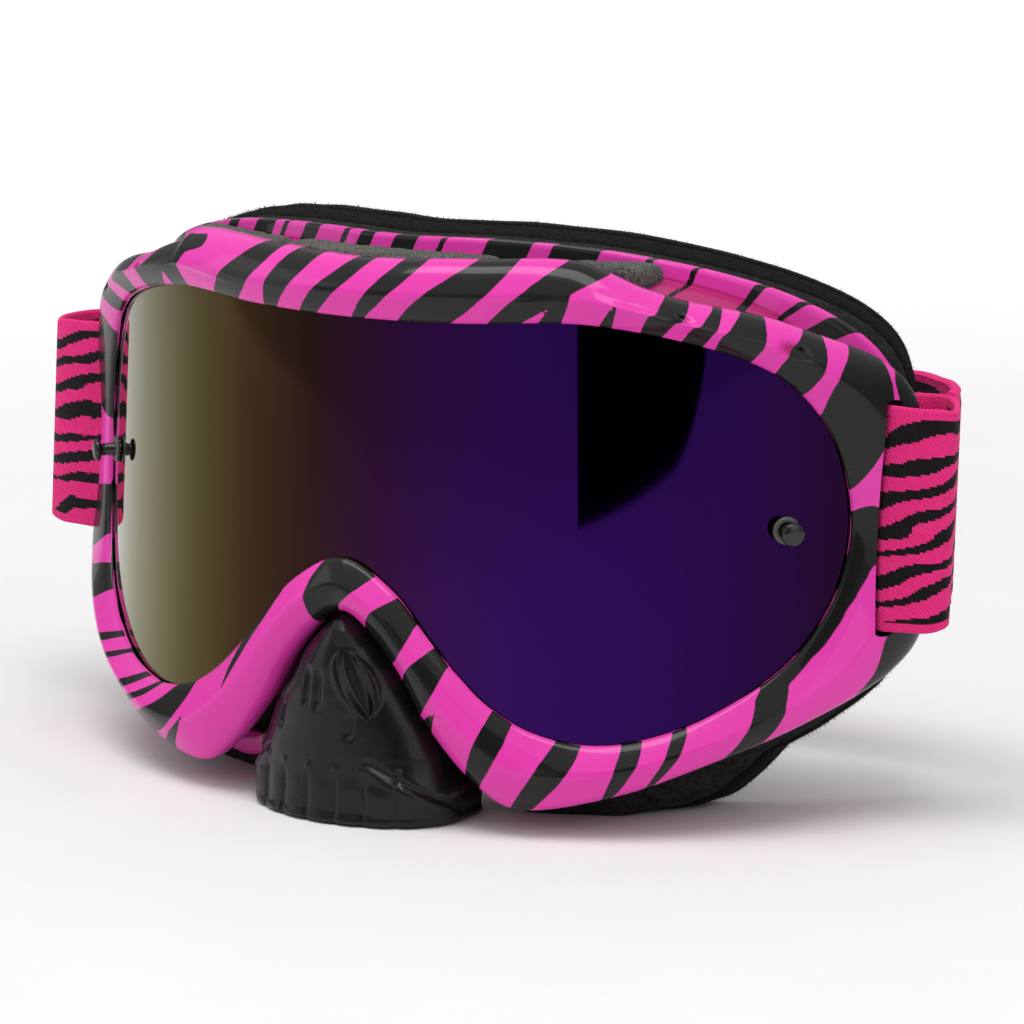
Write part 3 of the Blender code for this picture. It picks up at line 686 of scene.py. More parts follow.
rim_end = distance[:, -1]
corners = [
    bezel(np.minimum(width - channel, rim_end - 1.5), -RIM_REAR * ones - 0.6),
    face(neck, flange_front - 0.3),
    face(0.35 * ones, flange_front * ones),
    face(0.0 * ones, flange_front * ones + 0.35),
    face(0.0 * ones, FLANGE_DEPTH * ones - 0.35),
    face(0.35 * ones, FLANGE_DEPTH * ones),
    face(FLANGE_WIDTH * ones, FLANGE_DEPTH * ones),
    face(FLANGE_WIDTH * ones, flange_front * ones),
    face(neck + WALL, flange_front - 0.6),
    bezel(width - channel - WALL, -RIM_REAR * ones - 0.4),
    bezel(0.4 * ones, -RIM_REAR * ones + 0.6),
    bezel(0.4 * ones, -rear_of_lens * ones),
    bezel(LENS_GROOVE * ones, -rear_of_lens * ones),
    bezel(LENS_GROOVE * ones, (GAP - LENS_FRONT) * ones),
    bezel(0.0 * ones, (GAP - LENS_FRONT) * ones),
    rim_points[:, 0],
]
counts = (7, 5, 1, 2, 1, 4, 1, 2, 3, 3, 1, 1, 1, 1, 1)
parts = [rim_points]
parts += [spread(a, b, n) for a, b, n in zip(corners, corners[1:], counts)]
section = np.concatenate(parts, axis=1)
extra = section.shape[1] - PROFILE_STEPS
print("frame section has", section.shape[1], "points at", FRAME_STATIONS, "stations")

# %% Stripe distance for every point of the frame
paint = np.zeros(section.shape[:2])
paint[:, :PROFILE_STEPS] = np.minimum(crossing_distance(A, V), running_distance(A, V))
SLANT_POINTS, SLANT_DEPTH = 20.0, 14    # the flange's paint slants over this many points
CHANNEL_POINTS = 8                      # the channel behind the bezel lies in shadow
behind = np.minimum(np.arange(extra) / SLANT_POINTS, 1.0) * SLANT_DEPTH
paint[:, PROFILE_STEPS:] = flange_distance(np.repeat(along[:, None], extra, 1),
                                           np.repeat(behind[None, :], FRAME_STATIONS, 0))
# painted shade: this second field marks the channel behind the bezel and the middles of the pressed
# dimples, and the material darkens the colour there
dim = np.zeros_like(paint)
dim[:, PROFILE_STEPS:PROFILE_STEPS + CHANNEL_POINTS] = 1.0
for *dimple, _ in DIMPLES:
    dim[:, :PROFILE_STEPS] = np.maximum(dim[:, :PROFILE_STEPS],
                                        np.exp(-(dimple_reach(*dimple) * 1.05) ** 4))
print("ink covers", round(100 * float((paint[:, :PROFILE_STEPS] < 0).mean())), "% of the bezel")

# %% [markdown]
# ### Striped gloss paint
# A hot pink base with near-black bands under a clear coat.  The distance field gives the bands,
# a little noise keeps their edges hand-drawn, and a soft variation in the pink, a fine orange peel
# and faint scuffs in the roughness stop it from looking like one flat colour.

# %% Frame material
PINK = (0.90, 0.062, 0.50)
PINK_DEEP = (0.80, 0.040, 0.40)
INK = (0.007, 0.007, 0.0065)
INK_WORN = (0.014, 0.014, 0.013)
striped, tree, shader, place = material("striped_gloss_paint", Coat_Weight=0.4, Coat_Roughness=0.04,
                                        Specular_IOR_Level=0.1)
pattern = add(tree, "UVMap", uv_map="pattern").outputs["UV"]
parts_of = add(tree, "SeparateXYZ", {0: pattern})
wobble = noise(tree, place, 260.0, 2.0)
field = maths(tree, "MULTIPLY_ADD", maths(tree, "SUBTRACT", wobble, 0.5), 0.45, parts_of.outputs["X"])
ink_mask = step(tree, field, 0.09, -0.09)
pink = blend(tree, noise(tree, place, 45.0, 3.0), PINK, PINK_DEEP)
ink = blend(tree, noise(tree, place, 120.0, 5.0), INK, INK_WORN)
# painted shade: this tint darkens the colour where the second field is set, in the channel behind the
# bezel and in the dimples
PAINTED_SHADE_TINT = (0.55, 0.35, 0.35)
shade = blend(tree, parts_of.outputs["Y"], blend(tree, ink_mask, pink, ink), PAINTED_SHADE_TINT, "MULTIPLY")
dust = use(tree, scuffs, place, Scale=55.0, Amount=0.5)
rough = maths(tree, "MULTIPLY_ADD", dust, 0.16, 0.24)
feed(tree, shader, shade, rough, use(tree, orange_peel, place, Scale=650.0, Waviness=2.0),
     depth=0.000012)
# painted shade: the cutters carry this near-black finish onto the faces they cut inside the strap slots
# and vent windows
slot_shade_black, tree, shader, place = material("slot_shadow_plastic", Roughness=0.5)
feed(tree, shader, blend(tree, noise(tree, place, 300.0), (0.012, 0.012, 0.012), (0.02, 0.018, 0.018)),
     use(tree, scuffs, place, Scale=80.0, Amount=0.6))
print("made", striped.name, "and", slot_shade_black.name)

# %% Build the frame shell
field_uv = np.stack([paint, dim], -1)
shell = skin("frame_shell", section, striped, slot_shade_black, uv=field_uv)
SLOT_NEAR, SLOT_WIDTH = 101.0, 4.0
STRAP_MIDDLE, STRAP_WIDTH = 3.6, 41.5
STRAP_LOW, STRAP_HIGH = STRAP_MIDDLE - STRAP_WIDTH / 2, STRAP_MIDDLE + STRAP_WIDTH / 2
SLOT_ROOM = 1.0            # above and below the strap
# painted shade: the cut faces inside the slots and vent windows are also drawn as deep inside a dark band
CUT_FACE = -5.0            # a cut face counts as this far inside a dark band
for way in (1, -1):
    low, high = STRAP_LOW - SLOT_ROOM, STRAP_HIGH + SLOT_ROOM
    corner = np.linspace(0, 2 * np.pi, 33)[:-1]
    # a rounded slot: a box whose ends are half round, pushed through the side bar
    half_width, half_height = SLOT_WIDTH / 2, (high - low) / 2
    cx = np.sign(np.cos(corner)) * half_width * np.minimum(1, np.abs(np.cos(corner)) * 1.4)
    cz = np.sin(corner) * half_width
    cz = cz + np.where(np.sin(corner) >= 0, 1, -1) * (half_height - half_width)
    rows = [on_lens(way * (SLOT_NEAR + half_width + cx), STRAP_MIDDLE + cz, out)
            for out in (-RIM_REAR - 3.0, 8.0)]
    cut_away(shell, skin("slot_cutter", np.array(rows), slot_shade_black, along=False, caps=True,
                         uv=np.full((2, 32, 2), CUT_FACE)))
VENTS = (
    ("top_center", (-20.0, 20.0), 44.9), ("top_right", (27.0, 46.0), 44.6),
    ("top_left", (-46.0, -27.0), 44.6), ("bottom_right", (43.0, 54.0), -44.4),
    ("bottom_left", (-54.0, -43.0), -44.4))
VENT_FRONT, VENT_REAR, FILTER_THICKNESS = 7.5, 12.8, 2.4
VENT_ROOM = 3.5            # above and below the filter, to go right through the wall


def wrapped_slab(name, x_range, depth_range, z_range, finish, columns, uv=None):
    """A block that follows the lens, between two depths behind it and two heights."""
    x = np.linspace(*x_range, columns + 1)
    rows = np.stack([behind_lens(x, z, depth) for depth, z in (
        (depth_range[0], z_range[0]), (depth_range[1], z_range[0]),
        (depth_range[1], z_range[1]), (depth_range[0], z_range[1]))], 1)
    return skin(name, rows, finish, along=False, caps=True, uv=uv)


for name, x_range, low in VENTS:
    cut_away(shell, wrapped_slab("vent_cutter", x_range, (VENT_FRONT, VENT_REAR),
                                 (low - VENT_ROOM, low + FILTER_THICKNESS + VENT_ROOM), slot_shade_black,
                                 12, uv=np.full((13, 4, 2), CUT_FACE)))
shell.data.shade_smooth()
shell.data.set_sharp_from_angle(angle=math.radians(42))
finish_piece(shell, "goggles", "shell", "frame")

# %% [markdown]
# ## Mirrored lens
# The lens is a thin sheet bent round one axis, with a violet mirror coat.  Such a coat changes
# colour with the angle of view, from deep violet head-on through brown to a pale olive at the
# grazing end, so its colour comes from Layer Weight.  The sheet is an even grid between the lower
# and upper edge, and its normals are set from the true cylinder, because a mirror shows every facet.

# %% Lens material
mirror, tree, shader, place = material("violet_mirror_coat", Metallic=1.0, Roughness=0.05)
facing = add(tree, "LayerWeight", {"Blend": 0.5}).outputs["Facing"]
VIOLET, PLUM, BRONZE = (0.036, 0.006, 0.13), (0.036, 0.007, 0.04), (0.03, 0.013, 0.011)
OLIVE, STRAW, PALE = (0.085, 0.066, 0.017), (0.175, 0.165, 0.07), (0.42, 0.41, 0.33)
film = ramp(tree, facing, [(0.0, VIOLET), (0.13, PLUM), (0.22, BRONZE), (0.34, (0.05, 0.026, 0.01)),
                           (0.48, OLIVE), (0.68, STRAW), (1.0, PALE)])
# the coat darkens towards its +X end, which stands for the darker side of the room
darker = add(tree, "SeparateXYZ", {0: place}).outputs["X"]
drift = maths(tree, "SUBTRACT", noise(tree, place, 18.0), 0.5)
darker = maths(tree, "MULTIPLY", maths(tree, "MULTIPLY_ADD", drift, 0.02, darker), 10.0)
shadow = ramp(tree, darker, [(0.2, (1.0, 1.0, 1.0)), (0.8, (0.5, 0.55, 0.5))])
haze = maths(tree, "MULTIPLY_ADD", use(tree, scuffs, place, Scale=25.0, Amount=0.5), 0.05, 0.035)
feed(tree, shader, blend(tree, 1.0, film, shadow, "MULTIPLY"), haze)
print("made", mirror.name)

# %% Build the lens
LENS_COLUMNS, LENS_ROWS = 180, 40
opening_line, edge_line, _, _ = outline(np.linspace(0, 1, 801))
inward_x, inward_z, _ = across_bezel(opening_line, edge_line)
line_s = opening_line[0] - inward_x * LENS_OVERLAP
line_z = opening_line[1] - inward_z * LENS_OVERLAP
tip = int(np.argmax(line_s))
reach = line_s[tip] - 0.15
arc = reach * np.sin(np.linspace(-np.pi / 2, np.pi / 2, LENS_COLUMNS + 1))
high = np.interp(np.abs(arc), line_s[:tip + 1], line_z[:tip + 1])
order = np.argsort(line_s[tip:])
low = np.interp(np.abs(arc), line_s[tip:][order], line_z[tip:][order])
climb = np.linspace(0, 1, LENS_ROWS + 1)
z = low[:, None] + (high - low)[:, None] * climb[None, :]
s = np.repeat(arc[:, None], LENS_ROWS + 1, 1)
lens_back = on_lens(s, z, -LENS_FRONT - LENS_THICKNESS)
sheet = np.concatenate([on_lens(s, z, -LENS_FRONT), lens_back[:, ::-1]], 1)
lens = skin("mirror_lens", sheet, mirror, along=False)


def close_ends(thing, rows, cols):
    """Fill the first and last row of a flat tube with strips instead of one long face."""
    bm = bmesh.new()
    bm.from_mesh(thing.data)
    bm.verts.ensure_lookup_table()
    for base in (0, (rows - 1) * cols):
        for j in range(cols // 2 - 1):
            bm.faces.new([bm.verts[base + k] for k in (j, j + 1, cols - 2 - j, cols - 1 - j)])
    face_outwards(bm)
    bm.to_mesh(thing.data)
    bm.free()


close_ends(lens, LENS_COLUMNS + 1, 2 * (LENS_ROWS + 1))


def cylinder_normals(thing):
    """Give the two large faces of the lens the exact normals of the cylinder."""
    mesh = thing.data
    count = len(mesh.polygons)
    normals = np.zeros(count * 3)
    mesh.polygons.foreach_get("normal", normals)
    normals = normals.reshape(-1, 3)
    sizes = np.zeros(count, int)
    mesh.polygons.foreach_get("loop_total", sizes)
    owner = np.repeat(np.arange(count), sizes)
    vertex = np.zeros(len(mesh.loops), int)
    mesh.loops.foreach_get("vertex_index", vertex)
    co = np.zeros(len(mesh.vertices) * 3)
    mesh.vertices.foreach_get("co", co)
    co = co.reshape(-1, 3)[vertex] / MM
    from_axis = co[:, 1] + MIDDLE_Y - WRAP_RADIUS - LEAN * (co[:, 2] - EYE_HEIGHT)
    radial = np.stack([co[:, 0], from_axis, np.zeros(len(co))], 1)
    radial /= np.linalg.norm(radial, axis=1)[:, None]
    radial[:, 2] = -radial[:, 1] * LEAN
    radial /= np.linalg.norm(radial, axis=1)[:, None]
    toward = np.einsum("ij,ij->i", normals[owner], radial)
    chosen = np.where(np.abs(toward)[:, None] > 0.9, radial * np.sign(toward)[:, None], normals[owner])
    mesh.normals_split_custom_set(chosen.tolist())


cylinder_normals(lens)
finish_piece(lens, "goggles", "lens", "lens")

# %% [markdown]
# ## Tear-off posts
# Thin protective films hook on two turned posts, one near each end of the lens.  Each is a pin with
# a domed head, on a grey washer, held behind by a spring clip.  Turned pieces are a profile spun
# round an axis, with small bevels so that their edges catch the light.

# %% Plastic and metal finishes
def plastic(name, dark, light, roughness, spread_by, grain, depth, **constants):
    """A moulded plastic: two close tones, a roughness that varies with scuffs, and a grain."""
    made, tree, shader, place = material(name, **constants)
    colour = blend(tree, noise(tree, place, 90.0, 4.0), dark, light)
    dust = use(tree, scuffs, place, Scale=70.0, Amount=1.0)
    feed(tree, shader, colour, maths(tree, "MULTIPLY_ADD", dust, spread_by, roughness),
         use(tree, orange_peel, place, Scale=grain, Waviness=0.6), depth=depth)
    print("made", name)
    return made


post_black = plastic("post_black_acetal", (0.010, 0.010, 0.011), (0.018, 0.018, 0.019), 0.16, 0.2,
                     2500.0, 0.000006)
washer_grey = plastic("washer_grey_nylon", (0.06, 0.06, 0.058), (0.10, 0.10, 0.095), 0.42, 0.2,
                      2200.0, 0.00002)
steel, tree, shader, place = material("brushed_steel", Metallic=1.0, Anisotropic=0.4)
streaks = add(tree, "Mapping", {"Vector": place, "Scale": (1.0, 1.0, 14.0)}).outputs["Vector"]
feed(tree, shader, blend(tree, noise(tree, streaks, 260.0, 4.0), (0.36, 0.36, 0.37), (0.52, 0.52, 0.52)),
     maths(tree, "MULTIPLY_ADD", noise(tree, streaks, 500.0, 3.0), 0.2, 0.24),
     noise(tree, streaks, 900.0, 3.0), depth=0.00001)

# %% Turn the posts, washers and clips
POST_ARC, POST_HEIGHT, POST_RADIUS, HEAD_RADIUS = 84.0, 2.3, 1.3, 2.2
HEAD_THICKNESS, POST_STAND = 1.5, 5.4
WASHER_RADIUS, WASHER_THICKNESS = 2.6, 0.8
CLIP_RADIUS, CLIP_THICKNESS = 3.0, 0.7


def turned(name, profile, centre, axis, finish, segments=48, closed=False):
    """Spin (radius, height) points, in millimetres, about an axis through a centre in metres."""
    turn = np.array(Vector((0, 0, 1)).rotation_difference(axis).to_matrix())
    angle = np.linspace(0, 2 * np.pi, segments + 1)[:-1]
    rows = [np.stack([r * np.cos(angle), r * np.sin(angle), np.full(segments, h)], 1)
            for r, h in profile]
    grid = (np.array(rows) * MM) @ turn.T + np.array(centre)
    return skin(name, grid, finish, along=closed, caps=not closed, crease=50)


for way, name in ((1, "right"), (-1, "left")):
    centre = on_lens(way * POST_ARC, POST_HEIGHT, -LENS_FRONT)
    angle = way * POST_ARC / WRAP_RADIUS
    axis = Vector((math.sin(angle), -math.cos(angle), 0))
    rear = -LENS_THICKNESS
    head = POST_STAND - HEAD_THICKNESS
    foot = rear - CLIP_THICKNESS - 2 * GAP - 0.6
    pin = [(POST_RADIUS - 0.25, foot), (POST_RADIUS, foot + 0.25), (POST_RADIUS, head - 1.5),
           (POST_RADIUS - 0.12, head - 1.3), (POST_RADIUS - 0.12, head - 0.2), (POST_RADIUS, head - 0.05),
           (HEAD_RADIUS - 0.25, head), (HEAD_RADIUS, head + 0.22), (HEAD_RADIUS, head + 0.75)]
    pin += [((HEAD_RADIUS - 0.1) * math.cos(t) + 0.02,
             head + 0.9 + (POST_STAND - (head + 0.9)) * math.sin(t))
            for t in np.linspace(0, math.pi / 2, 7)]
    post = turned("post_" + name, pin, centre, axis, post_black)
    finish_piece(post, "goggles", "post", "tearoff_post_" + name)
    bore = POST_RADIUS + GAP
    ring = [(bore, GAP), (WASHER_RADIUS - 0.1, GAP), (WASHER_RADIUS, GAP + 0.12),
            (WASHER_RADIUS, GAP + 0.5), (WASHER_RADIUS - 0.25, GAP + WASHER_THICKNESS - 0.05),
            (WASHER_RADIUS - 0.4, GAP + WASHER_THICKNESS), (bore + 0.15, GAP + WASHER_THICKNESS),
            (bore, GAP + WASHER_THICKNESS - 0.15)]
    finish_piece(turned("washer_" + name, ring, centre, axis, washer_grey, closed=True),
                 "goggles", "washer", "post_washer_" + name)
    top = rear - GAP
    ring = [(bore, top - CLIP_THICKNESS), (CLIP_RADIUS - 0.15, top - CLIP_THICKNESS),
            (CLIP_RADIUS, top - CLIP_THICKNESS + 0.15), (CLIP_RADIUS, top - 0.15),
            (CLIP_RADIUS - 0.15, top), (bore + 0.3, top - 0.1), (bore, top - 0.2)]
    finish_piece(turned("clip_" + name, ring, centre, axis, steel, closed=True),
                 "goggles", "clip", "post_clip_" + name)

# %% [markdown]
# ## Face foam
# Three soft layers sit behind the flange: a firm grey base, a thick black core and a thin fleece
# that touches the skin.  Each is one closed ring whose section is a rounded, slightly crowned
# cushion, so it is a loft like the frame, with a low ripple because cut foam is never quite even.
# A cloth simulation would only swell such a thin, glued ring, so the crown is drawn in directly.

# %% Foam finishes
def foam_finish(name, dark, light, cell, depth, **constants):
    """Open-cell foam or fleece: small dark cells in a matt colour, with soft patches."""
    made, tree, shader, place = material(name, Roughness=0.95, Specular_IOR_Level=0.15, **constants)
    cells = add(tree, "TexVoronoi", {"Vector": place, "Scale": cell}).outputs["Distance"]
    grain = noise(tree, place, cell * 0.6, 5.0, 0.7)
    both = maths(tree, "MULTIPLY_ADD", cells, 0.6, grain)
    tone = maths(tree, "MULTIPLY", step(tree, both, 0.45, 1.0),
                 maths(tree, "MULTIPLY_ADD", noise(tree, place, 60.0), 0.8, 0.5))
    feed(tree, shader, blend(tree, tone, dark, light), height=both, depth=depth)
    print("made", name)
    return made


base_grey = foam_finish("base_foam_grey", (0.008, 0.008, 0.008), (0.025, 0.025, 0.025), 900.0, 0.0002)
core_black = foam_finish("core_foam_black", (0.0025, 0.0025, 0.0025), (0.009, 0.009, 0.0085), 1100.0,
                         0.0002)
fleece_black = foam_finish("face_fleece_black", (0.003, 0.003, 0.003), (0.011, 0.011, 0.0105), 1500.0,
                           0.0002, Sheen_Weight=0.08, Sheen_Roughness=0.5)
vent_grey = foam_finish("vent_filter_grey", (0.02, 0.02, 0.018), (0.17, 0.17, 0.155), 2600.0, 0.0002)
fibre_grey = foam_finish("fleece_fibre", (0.004, 0.004, 0.004), (0.016, 0.016, 0.015), 400.0, 0.0001)

# %% Build the foam layers
# name, thickness, finish, how full it is, material slot, loose fibres on a square metre
FOAM_LAYERS = (("foam_base", 3.6, base_grey, 0.8, "base_foam", 250000.0),
               ("foam_core", 7.4, core_black, 0.7, "core_foam", 1300000.0),
               ("foam_fleece", 2.2, fleece_black, 0.5, "fleece", 2200000.0))
FOAM_GAP, FOAM_WIDTH, FOAM_NARROWING, FOAM_RISE = 0.6, 11.0, 0.0035, 1.6
FOOT_START, FOOT_END = -43.0, -49.0
FOAM_TOTAL = sum(layer[1] for layer in FOAM_LAYERS)
FOAM_STATIONS, FOAM_POINTS = 420, 32
GLUE = 0.22                # how far each layer spreads into the glue line beside it


def foam_corner(depth, inner):
    """One corner line of a foam layer: x and height at every station, with the cheeks' feet flat."""
    back_by = depth - FLANGE_DEPTH
    rise = (FOAM_RISE * min(1.0, back_by / FOAM_TOTAL) - 0.4
            - inner * (FOAM_WIDTH - 2.0 * back_by / FOAM_TOTAL))
    # the cheeks' foam bulges outwards below the strap
    bulge = 9.5 * bump(foam_flange[1], -31.0, 16.0) * smooth(foam_flange[0], 45.0, 60.0)
    bulge = bulge + 3.0 * bump(foam_flange[1], 30.0, 13.0) * smooth(foam_flange[0], 58.0, 76.0)
    rise = rise + (1 - inner) * bulge * min(1.0, back_by / 5.0)
    x = foam_flange[0] - foam_nx * rise * (1.0 if inner else 0.35)
    z = foam_flange[1] - foam_nz * rise
    x = x * (1 - FOAM_NARROWING * back_by)
    if not inner:
        drop = np.clip((FOOT_START - z) / (FOOT_START - FOOT_END), 0, 1)
        z = z - drop * (z + EYE_HEIGHT)
    return behind_lens(foam_side * x, z, depth)


def ripple(points, size):
    """An even, repeatable low ripple: a few crossed waves of different lengths."""
    x, y, z = (points[..., k] / size for k in range(3))
    return (np.sin(x * 1.7 + z * 2.3) + np.sin(y * 2.9 - x * 1.1 + 1.3)
            + np.sin(z * 3.7 + y * 1.9 + x * 0.7) * 0.7) / 2.7


_, foam_share, foam_side, _ = ring_stations(FOAM_STATIONS)
foam_opening, foam_edge, foam_flange, _ = outline(foam_share)
foam_nx, foam_nz, _ = across_bezel(foam_opening, foam_edge)
a, b = (((line + 1) / 2)[None, :, None] for line in squared_circle(FOAM_POINTS, 0.42, 0.3))
foams = {}
start = FLANGE_DEPTH + FOAM_GAP
for name, thick, finish, *_ in FOAM_LAYERS:
    near, far = start - GLUE, start + thick + (GLUE if name != "foam_fleece" else 0.0)
    corner = [[foam_corner(depth, inner)[:, None] for inner in (0, 1)] for depth in (near, far)]
    grid = ((corner[0][0] * (1 - a) + corner[1][0] * a) * (1 - b)
            + (corner[0][1] * (1 - a) + corner[1][1] * a) * b)
    middle = grid.mean(axis=1, keepdims=True)
    out = grid - middle
    low_wave = (ripple(grid, 0.004) * 0.12 * MM)[..., None]
    grid = grid + out / np.linalg.norm(out, axis=2)[..., None] * low_wave
    grid[..., 2] = np.maximum(grid[..., 2], 0.0)
    foams[name] = skin("soft_" + name, grid, finish)
    start = start + thick + FOAM_GAP
print("three layers of foam,", FOAM_TOTAL + 2 * FOAM_GAP, "mm deep")

# %% [markdown]
# ### Loose fibres
# Cut foam and fleece catch the light on loose fibres along their edges, which is what makes them
# look soft.  Thousands of tiny tapered hairs are scattered over each layer by Geometry Nodes, with
# a fixed seed, then realized into a plain mesh.

# %% A Geometry Nodes tree that scatters fibres
def geometry_tree(name, *sizes):
    """A Geometry Nodes tree: geometry, named (name, type, value) sizes and a material go in."""
    inputs = [("Geometry", "Geometry", None), *sizes, ("Material", "Material", None)]
    return group("GeometryNodeTree", name, inputs, ("Geometry", "Geometry"))


def close_tree(tree, start, end, shape):
    """End a tree: turn its instances into real mesh, give it the material and send it out."""
    whole = node(tree, "GeometryNodeRealizeInstances", {"Geometry": shape})
    painted = node(tree, "GeometryNodeSetMaterial", {"Geometry": whole.outputs[0],
                                                     "Material": start["Material"]})
    tree.links.new(painted.outputs[0], end["Geometry"])
    print(tree.name, "has", len(tree.nodes), "nodes")


def grown(name, source, tree, **inputs):
    """Run a tree on a copy of a source object and keep the result as a plain mesh."""
    holder = new_object(name, source.data.copy())
    modifier = holder.modifiers.new("grow", "NODES")
    modifier.node_group = tree
    for item in tree.interface.items_tree:
        if item.in_out == "INPUT" and item.name in inputs:
            modifier[item.identifier] = inputs[item.name]
    bpy.context.view_layer.update()
    made = bpy.data.meshes.new_from_object(
        holder.evaluated_get(bpy.context.evaluated_depsgraph_get()))
    bpy.data.objects.remove(holder)
    return new_object(name, made)


FIBRE_LENGTH, FIBRE_THICKNESS = 0.0008, 0.00004     # metres
MOST_LEAN, FULL_TURN = 0.9, 6.28                     # radians
fibres, start, end = geometry_tree(
    "loose_fibres", ("Density", "Float", 400000.0), ("Length", "Float", FIBRE_LENGTH),
    ("Thickness", "Float", FIBRE_THICKNESS), ("Seed", "Int", 3))
scattered = node(fibres, "GeometryNodeDistributePointsOnFaces", {
    "Mesh": start["Geometry"], "Density": start["Density"], "Seed": start["Seed"]})
hair = node(fibres, "GeometryNodeMeshCone", {
    "Vertices": 3, "Side Segments": 1, "Radius Top": 0.0, "Radius Bottom": start["Thickness"],
    "Depth": start["Length"]}, fill_type="NGON")
sway = node(fibres, "FunctionNodeRandomValue", {
    0: (-MOST_LEAN, -MOST_LEAN, 0.0), 1: (MOST_LEAN, MOST_LEAN, FULL_TURN), "Seed": start["Seed"]},
    data_type="FLOAT_VECTOR")
size = node(fibres, "FunctionNodeRandomValue", {2: 0.5, 3: 1.3, "Seed": start["Seed"]})
lean_by = node(fibres, "FunctionNodeEulerToRotation", {"Euler": sway.outputs[0]})
turned_by = node(fibres, "FunctionNodeRotateRotation", {
    "Rotation": scattered.outputs["Rotation"], "Rotate By": lean_by.outputs[0]},
    rotation_space="LOCAL")
placed = node(fibres, "GeometryNodeInstanceOnPoints", {
    "Points": scattered.outputs["Points"], "Instance": hair.outputs["Mesh"],
    "Rotation": turned_by.outputs[0], "Scale": size.outputs[1]})
close_tree(fibres, start, end, placed.outputs[0])

# %% Scatter the fibres and finish the foam
for name, _, _, fill, slot, dense in FOAM_LAYERS:
    hairs = grown("fibres_" + name, foams[name], fibres, Density=dense, Length=FIBRE_LENGTH,
                  Thickness=FIBRE_THICKNESS, Seed=7, Material=fibre_grey)
    points = np.array([v.co for v in hairs.data.vertices])
    points[:, 2] = np.maximum(points[:, 2], 0.0)
    hairs.data.vertices.foreach_set("co", points.astype(np.float32).ravel())
    finish_piece(hairs, "goggles", "fleece" if name == "foam_fleece" else "core_foam")
    finish_piece(foams[name], "goggles", slot, name, fill=fill)

# %% [markdown]
# ### Vent filters
# Air comes in through windows in the channel behind the bezel, each closed by a pad of coarse grey
# foam.  The pads bulge a little out of their windows, so they are crowned blocks that follow the
# wrap of the lens.

# %% Build the vent filters
PAD_POINTS = 36
PAD_ENDS = {"top_center": (-23.2, 23.2), "top_right": (23.6, 50.0), "top_left": (-50.0, -23.6)}
for name, x_range, low in VENTS:
    start_x, end_x = PAD_ENDS.get(name, (x_range[0] + GAP, x_range[1] - GAP))
    top = low > 0
    x = np.linspace(start_x, end_x, 61)
    ends = 1 - np.clip(np.abs(x - x.mean()) / (end_x - start_x) * 2, 0, 1) ** 14
    across_by, up_by = squared_circle(PAD_POINTS, 0.4, 0.55)
    near, far = (6.6, 14.3) if top else (VENT_FRONT + GAP, VENT_REAR - GAP)
    high = low + (5.7 if top else FILTER_THICKNESS)
    grow = (0.5 + 0.5 * ends)[:, None]
    pad_z = (low + high) / 2 + up_by[None, :] * (high - low) / 2 * grow
    pad_depth = (near + far) / 2 + across_by[None, :] * (far - near) / 2 * (0.8 + 0.2 * grow)
    grid = behind_lens(np.repeat(x[:, None], PAD_POINTS, 1), pad_z, pad_depth)
    grid = grid + (ripple(grid, 0.0016) * 0.15 * MM)[..., None] * np.array([0, 0, 1.0])
    pad = skin("vent_pad_" + name, grid, vent_grey, along=False, caps=True, crease=60)
    finish_piece(pad, "goggles", "vent_foam", "vent_filter_" + name, fill=0.6)

# %% [markdown]
# ## Nose guard
# A satin black shell plugs on under the nose arch.  It starts as a small dome, widens down to a
# hem, and carries scooped air vents, short slots and a row of dots over fluted folds.  The shell is
# a dense grid of heights and angles, and each feature pushes that grid in or out, because pressed
# detail with soft shoulders has no sharp edge that a cut could follow.

# %% Build the nose guard
# height, half width, how far the front stands forward
GUARD_LEVELS = (
    (-15.8, 1.5, 1.0), (-16.5, 3.2, 2.6), (-18.2, 5.0, 3.9), (-21.0, 8.0, 5.0), (-25.0, 11.3, 5.8),
    (-30.0, 14.5, 6.5), (-35.0, 17.4, 7.0), (-41.0, 19.8, 7.6), (-47.5, 20.9, 8.1), (-54.0, 21.6, 8.5))
GUARD_WALL, GUARD_REAR, GUARD_AXIS = 2.2, 12.6, 6.0
GUARD_ROWS, GUARD_COLUMNS, GUARD_SIDES = 170, 150, 10
level = np.linspace(0, len(GUARD_LEVELS) - 1, GUARD_ROWS)
guard_z, guard_half, guard_forward = (
    np.interp(level, range(len(GUARD_LEVELS)), column) for column in zip(*GUARD_LEVELS))


def guard_plan(z, half, forward, rear):
    """Rows of plan rings: straight sides and a round front, as x, y, and outward x, y."""
    theta = np.linspace(0, np.pi, GUARD_COLUMNS)[None, :]
    depth = (GUARD_AXIS + forward)[:, None]
    x = half[:, None] * np.cos(theta)
    y = GUARD_AXIS - depth * np.sin(theta)
    out_x, out_y = np.cos(theta) * depth, -np.sin(theta) * half[:, None]
    size = np.hypot(out_x, out_y)
    out_x, out_y = out_x / size, out_y / size
    steps = np.linspace(rear, GUARD_AXIS, GUARD_SIDES, endpoint=False)[None, :]
    straight = np.repeat(steps, len(z), 0)
    edge_x = np.repeat(half[:, None], GUARD_SIDES, 1)
    x = np.concatenate([edge_x, x, -edge_x], 1)
    y = np.concatenate([straight, y, straight[:, ::-1]], 1)
    ones = np.ones_like(straight)
    out_x = np.concatenate([ones, out_x, -ones], 1)
    out_y = np.concatenate([0 * ones, out_y, 0 * ones], 1)
    return x, y, out_x, out_y


